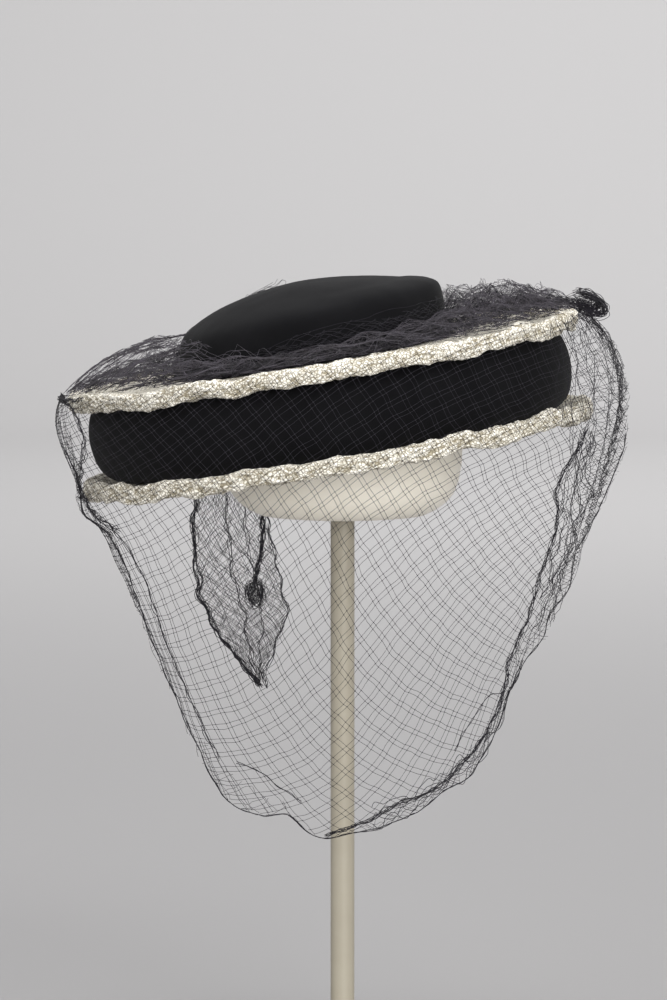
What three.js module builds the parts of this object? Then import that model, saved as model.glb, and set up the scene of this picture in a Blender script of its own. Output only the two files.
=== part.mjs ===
// A 1940s pillbox hat with a net veil, on a plain stand. Millimetres, +Z up.
// The origin is the centre of the stand's underside. The veil falls over the face on the -Y side.
import * as THREE from 'three';
import { mergeVertices } from 'three/addons/utils/BufferGeometryUtils.js';

// Driving sizes
const seatGap = 0.3; // clearance between neighbours
const baseRadius = 90;
const baseHeight = 12;
const postRadius = 6.35;
const headFloor = 295; // underside of the block that carries the hat
const headTop = 419.3; // apex of that block, just under the crown
const headWaist = 340; // height of its widest ring
const headRadius = 64;
const hatX = -2.5; // the hat's own origin is the middle of the bottom brim
const hatZ = 331;
const hatTilt = THREE.MathUtils.degToRad(9.6); // the right side sits higher
const brimRadius = 136;
const brimRoll = 8.6; // depth of the rolled straw edge
const brimPlate = 3; // the straw disc inside that edge
const topBrimLift = 47.5;
const feltWall = 2;
const netWall = 1.2; // the net as a sheet
const netClearance = 3.9; // from the brims' nominal edge to the outside of the hanging net
const crownOffset = -3.5; // the crown stands a little left of the brim's middle
const crownFoot = 72.5;
const crownDepthRatio = 1.05; // front to back against side to side
const veilHalfTurn = THREE.MathUtils.degToRad(110); // the veil's side edges, either side of the front

// The crown's outline, from its foot to its tip: height above the bottom brim, and reach each way
const crownRows = [
  { leftRise: 49.3, leftReach: 72.5, rightRise: 49.3, rightReach: 71.6 },
  { leftRise: 58.4, leftReach: 72.2, rightRise: 61.4, rightReach: 72.0 },
  { leftRise: 68.4, leftReach: 69.5, rightRise: 70.2, rightReach: 72.4 },
  { leftRise: 72.6, leftReach: 66.4, rightRise: 75.8, rightReach: 71.6 },
  { leftRise: 76.2, leftReach: 61.0, rightRise: 79.3, rightReach: 67.6 },
  { leftRise: 81.2, leftReach: 51.0, rightRise: 82.1, rightReach: 58.4 },
  { leftRise: 86.9, leftReach: 34.2, rightRise: 86.6, rightReach: 38.5 },
  { leftRise: 89.8, leftReach: 16.0, rightRise: 89.6, rightReach: 17.0 },
  { leftRise: 90.4, leftReach: 0, rightRise: 90.4, rightReach: 0 },
];

// The felt band's outside, from its lower edge to its upper one
const bandRows = [
  { rise: 1.8, reach: 112.5 },
  { rise: 2.6, reach: 118.5 },
  { rise: 5.5, reach: 123.4 },
  { rise: 11, reach: 127.4 },
  { rise: 25, reach: 130 },
  { rise: 38, reach: 127.5 },
  { rise: 43, reach: 123.6 },
  { rise: 45.7, reach: 118.5 },
];

// The block's outside, from its underside to its apex: share of the radius and height
const headRows = [
  { share: 0.56, rise: headFloor },
  { share: 0.78, rise: headFloor + 4 },
  { share: 0.92, rise: headFloor + 12 },
  { share: 0.985, rise: headFloor + 26 },
];

// The veil's hem: angle from the front, reach to each side, height, and depth from the hat's middle
const hemRows = [
  { angle: 0, leftReach: 0, leftRise: 141, rightReach: 0, rightRise: 141, depth: -112 },
  { angle: 20, leftReach: 33, leftRise: 151, rightReach: 33, rightRise: 149, depth: -108 },
  { angle: 35, leftReach: 56, leftRise: 156, rightReach: 53, rightRise: 161, depth: -99 },
  { angle: 50, leftReach: 74, leftRise: 180, rightReach: 75, rightRise: 183, depth: -84 },
  { angle: 65, leftReach: 91, leftRise: 214, rightReach: 93, rightRise: 221, depth: -63 },
  { angle: 80, leftReach: 111, leftRise: 262, rightReach: 113, rightRise: 259, depth: -36 },
  { angle: 95, leftReach: 131, leftRise: 294, rightReach: 132, rightRise: 303, depth: -6 },
  { angle: 110, leftReach: 146, leftRise: 328, rightReach: 152, rightRise: 336, depth: 30 },
];

// The pile of net on the brim: angle from the right-hand side towards the back, height at its crest
const pileRows = [
  { angle: 0, crest: 17 },
  { angle: 45, crest: 15 },
  { angle: 90, crest: 12 },
  { angle: 135, crest: 15 },
  { angle: 180, crest: 17 },
  { angle: 225, crest: 11 },
  { angle: 270, crest: 8.5 },
  { angle: 315, crest: 11 },
  { angle: 360, crest: 17 },
];

// The leaf-shaped tail, as places along its middle: left and right edge, height and depth
const tailRows = [
  { left: -81, right: -44, rise: 300, depth: 116 },
  { left: -83, right: -40, rise: 274, depth: 114 },
  { left: -81, right: -35, rise: 252, depth: 113 },
  { left: -76, right: -31, rise: 233, depth: 112 },
  { left: -66, right: -36, rise: 216, depth: 112 },
  { left: -55, right: -42, rise: 202, depth: 112 },
  { left: -46, right: -43, rise: 190, depth: 112 },
];

// Materials
const makeMaterial = (colour, roughness) =>
  new THREE.MeshStandardMaterial({ color: colour, roughness, metalness: 0 });
const standPaint = makeMaterial(0xdad4c2, 0.55);
const blackFelt = makeMaterial(0x1b1b1d, 0.95);
const creamStraw = makeMaterial(0xe9e2cf, 0.7);
const blackNet = makeMaterial(0x2a262c, 0.85);

// A value from a table, by a straight line between its rows
function lookUp(rows, key, column, at) {
  const next = rows.findIndex((row) => row[key] >= at);
  if (next <= 0) return next === 0 ? rows[0][column] : rows[rows.length - 1][column];
  const low = rows[next - 1];
  const high = rows[next];
  const share = (at - low[key]) / (high[key] - low[key]);
  return THREE.MathUtils.lerp(low[column], high[column], share);
}

// A closed mesh from points and triangles, with shared corners merged
function solidFrom(points, triangles) {
  const geometry = new THREE.BufferGeometry();
  geometry.setAttribute('position', new THREE.Float32BufferAttribute(points.flatMap((p) => [p.x, p.y, p.z]), 3));
  geometry.setIndex(triangles);
  const merged = mergeVertices(geometry, 1e-4);
  merged.computeVertexNormals();
  return merged;
}

// A ring whose section is a closed loop of points, given for each angle round +Z
function ringSolid(sectionAt, steps) {
  const points = [];
  const triangles = [];
  const count = sectionAt(0).length;
  for (let i = 0; i < steps; i += 1) {
    const angle = (i / steps) * Math.PI * 2;
    sectionAt(angle).forEach(([reach, rise]) => {
      points.push(new THREE.Vector3(reach * Math.cos(angle), reach * Math.sin(angle), rise));
    });
  }
  for (let i = 0; i < steps; i += 1) {
    for (let j = 0; j < count; j += 1) {
      const a = i * count + j;
      const b = i * count + ((j + 1) % count);
      const c = ((i + 1) % steps) * count + j;
      const d = ((i + 1) % steps) * count + ((j + 1) % count);
      triangles.push(a, c, b, b, c, d);
    }
  }
  return solidFrom(points, triangles);
}

// The direction out of a surface at a place on it, from two short steps along it
function outward(surface, u, v) {
  const step = 1e-3;
  const alongU = surface(u + step, v).sub(surface(u - step, v));
  const alongV = surface(u, v + step).sub(surface(u, v - step));
  return alongU.cross(alongV).normalize();
}

// A wall of even thickness behind an open surface, of columns by rows
function wallSolid(surface, columns, rows, thickness) {
  const points = [];
  const triangles = [];
  const place = (i, j, side) => (j * (columns + 1) + i) * 2 + side;
  const quad = (a, b, c, d) => triangles.push(a, b, c, a, c, d);
  for (let j = 0; j <= rows; j += 1) {
    for (let i = 0; i <= columns; i += 1) {
      const front = surface(i / columns, j / rows);
      const back = front.clone().addScaledVector(outward(surface, i / columns, j / rows), -thickness);
      points.push(front, back);
    }
  }
  for (let j = 0; j < rows; j += 1) {
    for (let i = 0; i < columns; i += 1) {
      quad(place(i, j, 0), place(i + 1, j, 0), place(i + 1, j + 1, 0), place(i, j + 1, 0));
      quad(place(i, j, 1), place(i, j + 1, 1), place(i + 1, j + 1, 1), place(i + 1, j, 1));
    }
    quad(place(0, j, 1), place(0, j, 0), place(0, j + 1, 0), place(0, j + 1, 1));
    quad(place(columns, j, 0), place(columns, j, 1), place(columns, j + 1, 1), place(columns, j + 1, 0));
  }
  for (let i = 0; i < columns; i += 1) {
    quad(place(i, 0, 0), place(i, 0, 1), place(i + 1, 0, 1), place(i + 1, 0, 0));
    quad(place(i, rows, 0), place(i + 1, rows, 0), place(i + 1, rows, 1), place(i, rows, 1));
  }
  return solidFrom(points, triangles);
}

// A coarse net: a wall cut through by diamonds, whose corners lie on a staggered lattice
function netSolid(surface, columns, rows, thickness, openShare) {
  const points = [];
  const triangles = [];
  const known = new Map();
  const addPoint = (u, v) => {
    const key = `${u.toFixed(5)} ${v.toFixed(5)}`;
    if (!known.has(key)) {
      const front = surface(u, v);
      known.set(key, points.length);
      points.push(front, front.clone().addScaledVector(outward(surface, u, v), -thickness));
    }
    return known.get(key);
  };
  const bothSides = (a, b, c) => triangles.push(a, b, c, a + 1, c + 1, b + 1);
  const edgeWall = (a, b) => triangles.push(a, b, b + 1, a, b + 1, a + 1);
  for (let j = 0; j <= rows; j += 1) {
    for (let i = 0; i <= columns; i += 1) {
      if ((i + j) % 2 === 0) continue;
      const around = [[i, j - 1], [i + 1, j], [i, j + 1], [i - 1, j]];
      const inside = around.filter(([x, y]) => x >= 0 && x <= columns && y >= 0 && y <= rows);
      const corners = inside.map(([x, y]) => addPoint(x / columns, y / rows));
      if (inside.length === 4) {
        const holes = inside.map(([x, y]) =>
          addPoint((i + (x - i) * openShare) / columns, (j + (y - j) * openShare) / rows));
        corners.forEach((corner, k) => {
          const next = (k + 1) % 4;
          bothSides(corner, corners[next], holes[next]);
          bothSides(corner, holes[next], holes[k]);
          edgeWall(holes[k], holes[next]);
        });
      } else {
        // A half cell on the sheet's border stays solid
        const start = around.findIndex(([x, y], k) => {
          const [px, py] = around[(k + 3) % 4];
          return x >= 0 && x <= columns && y >= 0 && y <= rows && (px < 0 || px > columns || py < 0 || py > rows);
        });
        const ordered = [0, 1, 2].map((k) => around[(start + k) % 4]).map(([x, y]) => addPoint(x / columns, y / rows));
        bothSides(ordered[0], ordered[1], ordered[2]);
        edgeWall(ordered[0], ordered[2]);
      }
    }
  }
  return solidFrom(points, triangles);
}

// A round tube along a curve
function tubeSolid(curve, radius, sides, steps) {
  const section = new THREE.Shape();
  for (let k = 0; k < sides; k += 1) {
    const turn = (k / sides) * Math.PI * 2;
    section[k ? 'lineTo' : 'moveTo'](radius * Math.cos(turn), radius * Math.sin(turn));
  }
  const geometry = new THREE.ExtrudeGeometry(section, { steps, extrudePath: curve });
  geometry.deleteAttribute('normal');
  geometry.deleteAttribute('uv');
  const merged = mergeVertices(geometry, 1e-4);
  merged.computeVertexNormals();
  return merged;
}

// A turned solid: reach and height pairs from the axis at the bottom to the axis at the top
function turnedSolid(profile, steps) {
  const geometry = new THREE.LatheGeometry(profile.map(([reach, rise]) => new THREE.Vector2(reach, rise)), steps);
  geometry.rotateX(Math.PI / 2);
  geometry.deleteAttribute('normal');
  geometry.deleteAttribute('uv');
  const merged = mergeVertices(geometry, 1e-4);
  merged.computeVertexNormals();
  return merged;
}

// A place in the tilted hat, as a place in the whole object
function fromHat(reachRight, reachBack, rise) {
  const point = new THREE.Vector3(reachRight, reachBack, rise);
  return point.applyAxisAngle(new THREE.Vector3(0, 1, 0), -hatTilt).add(new THREE.Vector3(hatX, 0, hatZ));
}

// A place in the whole object, as a place in the tilted hat
function intoHat(point) {
  const local = point.clone().sub(new THREE.Vector3(hatX, 0, hatZ));
  return local.applyAxisAngle(new THREE.Vector3(0, 1, 0), hatTilt);
}

// Net that hangs beside the two brims lies against their edges and not through them
function outsideBrims(point) {
  const local = intoHat(point);
  const reach = Math.hypot(local.x, local.y);
  const beside = THREE.MathUtils.smoothstep(local.z, -24, -9);
  const wanted = THREE.MathUtils.lerp(reach, Math.max(reach, brimRadius + netClearance), beside);
  return fromHat((local.x * wanted) / reach, (local.y * wanted) / reach, local.z);
}

// The stand's foot: a plain disc with a small bevel round its top
function makeBase() {
  const bevel = 2.5;
  const profile = [[0, 0], [baseRadius, 0], [baseRadius, baseHeight - bevel], [baseRadius - bevel, baseHeight]];
  return turnedSolid([...profile, [0, baseHeight]], 36);
}

function makePost() {
  const foot = baseHeight + seatGap;
  const top = headFloor - seatGap;
  return turnedSolid([[0, foot], [postRadius, foot], [postRadius, top], [0, top]], 20);
}

// The block: straight rows below its widest ring, then an elliptic dome
function makeHead() {
  const domeRows = 7;
  const profile = [[0, headFloor], ...headRows.map(({ share, rise }) => [headRadius * share, rise])];
  for (let k = 0; k <= domeRows; k += 1) {
    const turn = (k / domeRows) * Math.PI * 0.5;
    const reach = k === domeRows ? 0 : headRadius * Math.cos(turn);
    profile.push([reach, headWaist + (headTop - headWaist) * Math.sin(turn)]);
  }
  return turnedSolid(profile, 32);
}

// A straw brim: a thin disc with a deep rolled edge that waves a little, as crinkled straw does
function makeBrim(openingAt, waveStart) {
  return ringSolid((angle) => {
    const wave = Math.sin(angle * 11 + waveStart) + 0.7 * Math.sin(angle * 19 + waveStart * 2);
    const edge = brimRadius + 0.6 * wave;
    const roll = brimRoll / 2 + 0.25 * Math.sin(angle * 14 + waveStart);
    const plate = brimPlate / 2;
    const hole = openingAt(angle);
    return [
      [hole, plate], [hole, -plate], [edge - 13, -plate], [edge - 8, -roll * 0.75], [edge - 3.5, -roll],
      [edge - 0.2, -roll * 0.4], [edge - 0.2, roll * 0.4], [edge - 3.5, roll],
      [edge - 8, roll * 0.75], [edge - 13, plate],
    ];
  }, 56);
}

// The head opening: an oval round the middle of the crown
function ovalReach(angle, halfWidth, halfDepth, shift) {
  const cos = Math.cos(angle);
  const sin = Math.sin(angle);
  const a = (cos / halfWidth) ** 2 + (sin / halfDepth) ** 2;
  const b = (-2 * cos * shift) / halfWidth ** 2;
  const c = (shift / halfWidth) ** 2 - 1;
  return (-b + Math.sqrt(b * b - 4 * a * c)) / (2 * a);
}

function makeBand() {
  const inner = [...bandRows].reverse().map(({ reach, rise }, k, all) => {
    const edgeLift = k === 0 ? 0 : 0.35 * feltWall;
    const downLift = k === all.length - 1 ? 0 : edgeLift;
    return [reach - feltWall, rise + (rise > 25 ? -downLift : downLift)];
  });
  const section = [...bandRows.map(({ reach, rise }) => [reach, rise]), ...inner];
  return ringSolid(() => section, 48);
}

// The crown: its left and right outlines blend round it, and the wall is as thick as the felt
function makeCrown() {
  const around = 44;
  const last = crownRows.length - 1;
  const outer = (turn, row, inset) => {
    const angle = turn * Math.PI * 2;
    const leftShare = (1 - Math.cos(angle)) / 2;
    const { leftReach, rightReach, leftRise, rightRise } = crownRows[row];
    const reach = THREE.MathUtils.lerp(rightReach, leftReach, leftShare);
    const rise = THREE.MathUtils.lerp(rightRise, leftRise, leftShare);
    const topShare = THREE.MathUtils.smoothstep(row, 1, 5);
    const inside = Math.max(reach - inset * (1 - 0.75 * topShare), 0);
    const drop = row === 0 ? 0 : inset * topShare;
    return new THREE.Vector3(
      crownOffset + inside * Math.cos(angle), inside * Math.sin(angle) * crownDepthRatio, rise - drop);
  };
  const points = [];
  const triangles = [];
  [0, feltWall].forEach((inset) => {
    for (let row = 0; row < last; row += 1) {
      for (let i = 0; i < around; i += 1) points.push(outer(i / around, row, inset));
    }
    points.push(outer(0, last, inset));
  });
  const shell = last * around + 1;
  for (let side = 0; side < 2; side += 1) {
    const add = (a, b, c) => (side ? triangles.push(a, c, b) : triangles.push(a, b, c));
    const start = side * shell;
    for (let i = 0; i < around; i += 1) {
      const next = (i + 1) % around;
      for (let row = 0; row < last - 1; row += 1) {
        const low = start + row * around;
        add(low + i, low + next, low + around + next);
        add(low + i, low + around + next, low + around + i);
      }
      const rim = start + (last - 1) * around;
      add(rim + i, rim + next, start + last * around);
    }
  }
  for (let i = 0; i < around; i += 1) {
    const next = (i + 1) % around;
    triangles.push(i, shell + i, shell + next, i, shell + next, next);
  }
  return solidFrom(points, triangles);
}

// The pile of net on the brim, from the crown's foot out over the rolled edge, in loose pleats
const pileEdge = { reach: brimRadius + 2.4, rise: topBrimLift + 4.8 };
function pileSurface(turn, out) {
  const angle = turn * Math.PI * 2;
  const degrees = ((((turn % 1) + 1) % 1) * 360);
  const inner = ovalReach(angle, crownFoot + 4.5, crownFoot * crownDepthRatio + 4.5, crownOffset);
  const reach = THREE.MathUtils.lerp(inner, pileEdge.reach, out);
  const crest = lookUp(pileRows, 'angle', 'crest', degrees);
  const hump = Math.sin(Math.PI * Math.min(1, 0.16 + out * 0.84)) ** 0.8;
  const pleat = Math.sin(angle * 23 + 3 * Math.sin(angle * 3) + out * 2.5);
  const foot = topBrimLift + brimPlate / 2 + netWall + seatGap + 1.5 * (1 - out);
  const level = THREE.MathUtils.lerp(foot, pileEdge.rise, out ** 2);
  const ease = THREE.MathUtils.smoothstep(out, 0, 0.25) * (1 - THREE.MathUtils.smoothstep(out, 0.75, 1));
  return new THREE.Vector3(reach * Math.cos(angle), reach * Math.sin(angle), level + crest * hump + 1.6 * pleat * ease);
}

function makeGathers() {
  const columns = 78;
  const rows = 4;
  const points = [];
  const triangles = [];
  const place = (i, j, side) => (j * columns + (i % columns)) * 2 + side;
  const quad = (a, b, c, d) => triangles.push(a, b, c, a, c, d);
  for (let j = 0; j <= rows; j += 1) {
    for (let i = 0; i < columns; i += 1) {
      const top = pileSurface(i / columns, j / rows);
      points.push(top, top.clone().add(new THREE.Vector3(0, 0, -netWall)));
    }
  }
  for (let i = 0; i < columns; i += 1) {
    for (let j = 0; j < rows; j += 1) {
      quad(place(i, j, 0), place(i, j + 1, 0), place(i + 1, j + 1, 0), place(i + 1, j, 0));
      quad(place(i, j, 1), place(i + 1, j, 1), place(i + 1, j + 1, 1), place(i, j + 1, 1));
    }
    quad(place(i, 0, 0), place(i + 1, 0, 0), place(i + 1, 0, 1), place(i, 0, 1));
    quad(place(i, rows, 0), place(i, rows, 1), place(i + 1, rows, 1), place(i + 1, rows, 0));
  }
  return solidFrom(points, triangles);
}

// The veil: it leaves the brim's edge, swells out a little, and falls to a hem that rises to each side
function veilSurface(across, down) {
  const turn = (across * 2 - 1) * veilHalfTurn; // from left to right
  const degrees = Math.abs(THREE.MathUtils.radToDeg(turn));
  const right = turn >= 0;
  const edgeReach = brimRadius + netClearance;
  const top = fromHat(edgeReach * Math.sin(turn), -edgeReach * Math.cos(turn), pileEdge.rise - netWall - seatGap);
  const reach = lookUp(hemRows, 'angle', right ? 'rightReach' : 'leftReach', degrees);
  const rise = lookUp(hemRows, 'angle', right ? 'rightRise' : 'leftRise', degrees);
  const hem = new THREE.Vector3(right ? reach : -reach, lookUp(hemRows, 'angle', 'depth', degrees), rise);
  const fall = top.z - hem.z;
  const out = new THREE.Vector3(Math.sin(turn), -Math.cos(turn), 0);
  const sideSwell = THREE.MathUtils.smoothstep(degrees, 40, 100);
  const swell = THREE.MathUtils.lerp(8, right ? 30 : 18, sideSwell);
  const lowerSwell = swell * (right ? 0.55 : 0.05);
  const shoulder = top.clone().addScaledVector(out, swell).add(new THREE.Vector3(0, 0, -fall * 0.3));
  const lower = hem.clone().lerp(top, 0.3).addScaledVector(out, lowerSwell);
  const curve = new THREE.CubicBezierCurve3(top, shoulder, lower, hem);
  const point = curve.getPoint(THREE.MathUtils.clamp(down, 0, 1));
  if (down < 0 || down > 1) point.addScaledVector(curve.getTangent(down < 0 ? 0 : 1), (down < 0 ? down : down - 1) * fall);
  const fold = Math.sin(turn * 9) * 2.2 * sideSwell * THREE.MathUtils.smoothstep(down, 0.15, 0.6);
  return outsideBrims(point.addScaledVector(out, fold));
}

// The leaf-shaped tail: hangs from the underside of the bottom brim's back edge, cupped and folded
function tailSurface(across, down) {
  const at = THREE.MathUtils.clamp(down, 0, 1) * tailRows.length;
  const hang = new THREE.Vector3();
  const seatReach = brimRadius - 4;
  const seatRight = THREE.MathUtils.lerp(-76, -44, across);
  const seatDrop = -(brimRoll / 2 + 0.6 + seatGap);
  const seat = fromHat(seatRight, Math.sqrt(seatReach ** 2 - seatRight ** 2), seatDrop);
  const row = Math.max(Math.ceil(at) - 1, 0);
  const low = tailRows[Math.min(row, tailRows.length - 1)];
  const target = (entry) => new THREE.Vector3(
    THREE.MathUtils.lerp(entry.left, entry.right, across),
    entry.depth + 5 * Math.sin(across * Math.PI * 2.5 + 0.4),
    entry.rise);
  const before = row === 0 ? seat : target(tailRows[row - 1]);
  hang.copy(before).lerp(target(low), at - row);
  return hang;
}

// The twisted end beside the tail, down to its small loop
function makeTie() {
  const seat = fromHat(-40, Math.sqrt((brimRadius - 4) ** 2 - 1600), -(brimRoll / 2 + 0.6 + seatGap));
  const loopCentre = new THREE.Vector3(-48, 105, 243);
  const loopRadius = 4.4;
  const path = [
    seat.clone(),
    seat.clone().add(new THREE.Vector3(-1, -3, -14)),
    new THREE.Vector3(-44, 104, 284),
    new THREE.Vector3(-45, 103, 264),
  ];
  for (let k = 0; k <= 7; k += 1) {
    const turn = (k / 7) * Math.PI * 1.72;
    path.push(new THREE.Vector3(
      loopCentre.x + loopRadius * Math.sin(turn),
      loopCentre.y - 0.9 * k,
      loopCentre.z + loopRadius * 1.25 * Math.cos(turn)));
  }
  return tubeSolid(new THREE.CatmullRomCurve3(path), 1.6, 6, 36);
}

// The bunch: net wound into a thick uneven loop that lies on the brim's right end
function makeKnot() {
  const loopRadius = 8.2;
  const bundleRadius = 4;
  const geometry = new THREE.TorusGeometry(loopRadius, bundleRadius, 9, 22);
  geometry.deleteAttribute('normal');
  geometry.deleteAttribute('uv');
  const places = geometry.attributes.position;
  for (let k = 0; k < places.count; k += 1) {
    const turn = Math.atan2(places.getY(k), places.getX(k));
    const swell = 1 + 0.09 * Math.sin(turn * 5 + 0.6);
    places.setXYZ(k, places.getX(k) * swell, places.getY(k) * swell * 1.2, places.getZ(k) * (1 + 0.1 * Math.cos(turn * 3)));
  }
  geometry.translate(brimRadius + 9.8, 2, topBrimLift + 10.8);
  const merged = mergeVertices(geometry, 1e-4);
  merged.computeVertexNormals();
  return merged;
}

function addPiece(group, name, geometry, material) {
  const mesh = new THREE.Mesh(geometry, material);
  mesh.name = name;
  group.add(mesh);
  return mesh;
}

// Assembly
const wholeObject = new THREE.Group();
addPiece(wholeObject, 'stand_base', makeBase(), standPaint);
addPiece(wholeObject, 'stand_post', makePost(), standPaint);
addPiece(wholeObject, 'stand_head', makeHead(), standPaint);

const hat = new THREE.Group();
hat.position.set(hatX, 0, hatZ);
hat.rotation.y = -hatTilt;
wholeObject.add(hat);
addPiece(hat, 'bottom_brim', makeBrim((angle) => ovalReach(angle, 80, 84, crownOffset), 0.4), creamStraw);
addPiece(hat, 'side_band', makeBand(), blackFelt);
const topBrim = addPiece(hat, 'top_brim', makeBrim((angle) => ovalReach(angle, 67, 70, crownOffset), 2.1), creamStraw);
topBrim.position.z = topBrimLift;
addPiece(hat, 'crown', makeCrown(), blackFelt);
addPiece(hat, 'veil_gathers', makeGathers(), blackNet);
addPiece(hat, 'veil_knot', makeKnot(), blackNet);

const veilOut = (across, down) => veilSurface(across, 1 - down);
addPiece(wholeObject, 'veil', netSolid(veilOut, 32, 8, netWall, 0.78), blackNet);
const tailOut = (across, down) => tailSurface(across, 1 - down);
addPiece(wholeObject, 'veil_tail', wallSolid(tailOut, 7, 13, netWall), blackNet);
addPiece(wholeObject, 'veil_tie', makeTie(), blackNet);

export default wholeObject;
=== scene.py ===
import math

import bpy
import numpy as np
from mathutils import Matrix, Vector, noise


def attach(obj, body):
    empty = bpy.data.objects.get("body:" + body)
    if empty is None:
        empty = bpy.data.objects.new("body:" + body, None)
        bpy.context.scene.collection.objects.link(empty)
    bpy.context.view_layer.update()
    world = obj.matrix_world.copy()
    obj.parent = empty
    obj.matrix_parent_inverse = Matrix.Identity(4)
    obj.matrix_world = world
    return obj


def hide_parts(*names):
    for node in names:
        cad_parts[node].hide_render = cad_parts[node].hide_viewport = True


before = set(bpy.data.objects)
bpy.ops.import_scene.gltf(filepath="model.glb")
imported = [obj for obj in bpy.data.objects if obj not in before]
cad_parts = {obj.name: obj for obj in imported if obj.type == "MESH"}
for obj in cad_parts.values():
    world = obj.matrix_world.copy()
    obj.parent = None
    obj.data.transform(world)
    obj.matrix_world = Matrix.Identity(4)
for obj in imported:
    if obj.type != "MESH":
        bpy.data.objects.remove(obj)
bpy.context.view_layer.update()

mm = 0.001


# Camera: the photograph's view, a long lens a little above the hat
photoView = {
    "imageHeight": 1000, "perPixel": 0.53 * mm, "distance": 2.6, "pitch": 4.7,
    "aimX": -4.8 * mm, "aimZ": 303.2 * mm, "sensor": 36,
}


def makeCamera():
    pitch = math.radians(photoView["pitch"])
    distance = photoView["distance"]
    place = (photoView["aimX"], -distance * math.cos(pitch), photoView["aimZ"] + distance * math.sin(pitch))
    bpy.ops.object.camera_add(location=place, rotation=(math.pi / 2 - pitch, 0, 0))
    camera = bpy.context.object
    camera.data.sensor_width = photoView["sensor"]
    camera.data.lens = photoView["sensor"] * distance / (photoView["imageHeight"] * photoView["perPixel"])
    camera.data.clip_end = 30
    bpy.context.scene.camera = camera


makeCamera()
print("camera made")


# Small helpers for objects
def deselectAll():
    if bpy.context.object and bpy.context.object.mode != "OBJECT":
        bpy.ops.object.mode_set(mode="OBJECT")
    bpy.ops.object.select_all(action="DESELECT")


def makeActive(piece):
    deselectAll()
    piece.select_set(True)
    bpy.context.view_layer.objects.active = piece


def applyModifier(piece, kind, **settings):
    makeActive(piece)
    modifier = piece.modifiers.new(kind.lower(), kind)
    for key, value in settings.items():
        setattr(modifier, key, value)
    bpy.ops.object.modifier_apply(modifier=modifier.name)


def placeInMesh(piece):
    makeActive(piece)
    bpy.ops.object.transform_apply(location=True, rotation=True, scale=True)


def getPoints(piece, kind="co"):
    flat = np.empty(len(piece.data.vertices) * 3)
    piece.data.vertices.foreach_get(kind, flat)
    return flat.reshape(-1, 3)


def setPoints(piece, points):
    piece.data.vertices.foreach_set("co", np.ascontiguousarray(points, float).ravel())
    piece.data.update()


def noiseAt(points, scale, seed=0.0):
    # Smooth noise, about -0.5 to 0.5; scale is the size of a lump
    shift = Vector((seed * 3.7, seed * 1.9, seed * 5.3))
    return np.array([noise.noise(Vector(point) / scale + shift) for point in points])


# Small helpers for materials
def toLinear(hexColour):
    channels = [int(hexColour[k:k + 2], 16) / 255 for k in (1, 3, 5)]
    return tuple(c / 12.92 if c <= 0.04045 else ((c + 0.055) / 1.055) ** 2.4 for c in channels) + (1.0,)


def addNode(tree, kind, links=None, **settings):
    node = tree.nodes.new(kind)
    for key, value in settings.items():
        if key in node.inputs:
            node.inputs[key].default_value = value
        else:
            setattr(node, key, value)
    for key, source in (links or {}).items():
        tree.links.new(source, node.inputs[key])
    return node


def addNoise(tree, place, size, detail, roughness=0.5):
    node = addNode(tree, "ShaderNodeTexNoise", {"Vector": place}, Scale=1 / size, Detail=detail)
    node.inputs["Roughness"].default_value = roughness
    return node.outputs["Fac"]


def addRange(tree, value, low, high):
    node = addNode(tree, "ShaderNodeMapRange", {"Value": value})
    node.inputs["From Min"].default_value = low
    node.inputs["From Max"].default_value = high
    return node.outputs[0]


def addBump(tree, height, strength, distance):
    node = addNode(tree, "ShaderNodeBump", {"Height": height}, Strength=strength, Distance=distance)
    return node.outputs["Normal"]


def startMaterial(name):
    material = bpy.data.materials.new(name)
    material.use_nodes = True
    material.node_tree.nodes.clear()
    return material, material.node_tree


def finishMaterial(tree, links, **settings):
    shader = addNode(tree, "ShaderNodeBsdfPrincipled", links)
    for key, value in settings.items():
        shader.inputs[key.replace("_", " ")].default_value = value
    addNode(tree, "ShaderNodeOutputMaterial", {"Surface": shader.outputs["BSDF"]})


def blendColours(tree, factor, low, high):
    mix = addNode(tree, "ShaderNodeMix", data_type="RGBA")
    tree.links.new(factor, mix.inputs[0])
    mix.inputs[6].default_value = toLinear(low)
    mix.inputs[7].default_value = toLinear(high)
    return mix.outputs[2]


def smoothAll(piece):
    makeActive(piece)
    bpy.ops.object.shade_smooth()


def dress(piece, material, node):
    piece.data.materials.clear()
    piece.data.materials.append(material)
    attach(piece, "root")
    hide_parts(node)


# Felt: fur felt, pressed and brushed, so it is nearly black with a soft nap and a faint bloom of dust
feltLook = {
    "deep": "#070709", "worn": "#121214", "roughness": 0.95, "sheen": 0.03,
    "fibre": 0.45 * mm, "cloud": 26 * mm, "cloudRange": (0.38, 0.72), "relief": 0.16 * mm,
}


def makeFelt():
    material, tree = startMaterial("brushedBlackFelt")
    place = addNode(tree, "ShaderNodeTexCoord").outputs["Object"]
    cloud = addNoise(tree, place, feltLook["cloud"], 5, 0.6)
    fibre = addNoise(tree, place, feltLook["fibre"], 3, 0.7)
    spread = addRange(tree, cloud, *feltLook["cloudRange"])
    speckle = addNode(tree, "ShaderNodeMath", {0: spread, 1: fibre}, operation="MULTIPLY")
    colour = blendColours(tree, speckle.outputs[0], feltLook["deep"], feltLook["worn"])
    bump = addBump(tree, fibre, 0.55, feltLook["relief"])
    finishMaterial(
        tree, {"Base Color": colour, "Normal": bump}, Roughness=feltLook["roughness"],
        Sheen_Weight=feltLook["sheen"], Sheen_Roughness=0.45, Specular_IOR_Level=0.14)
    return material


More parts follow.
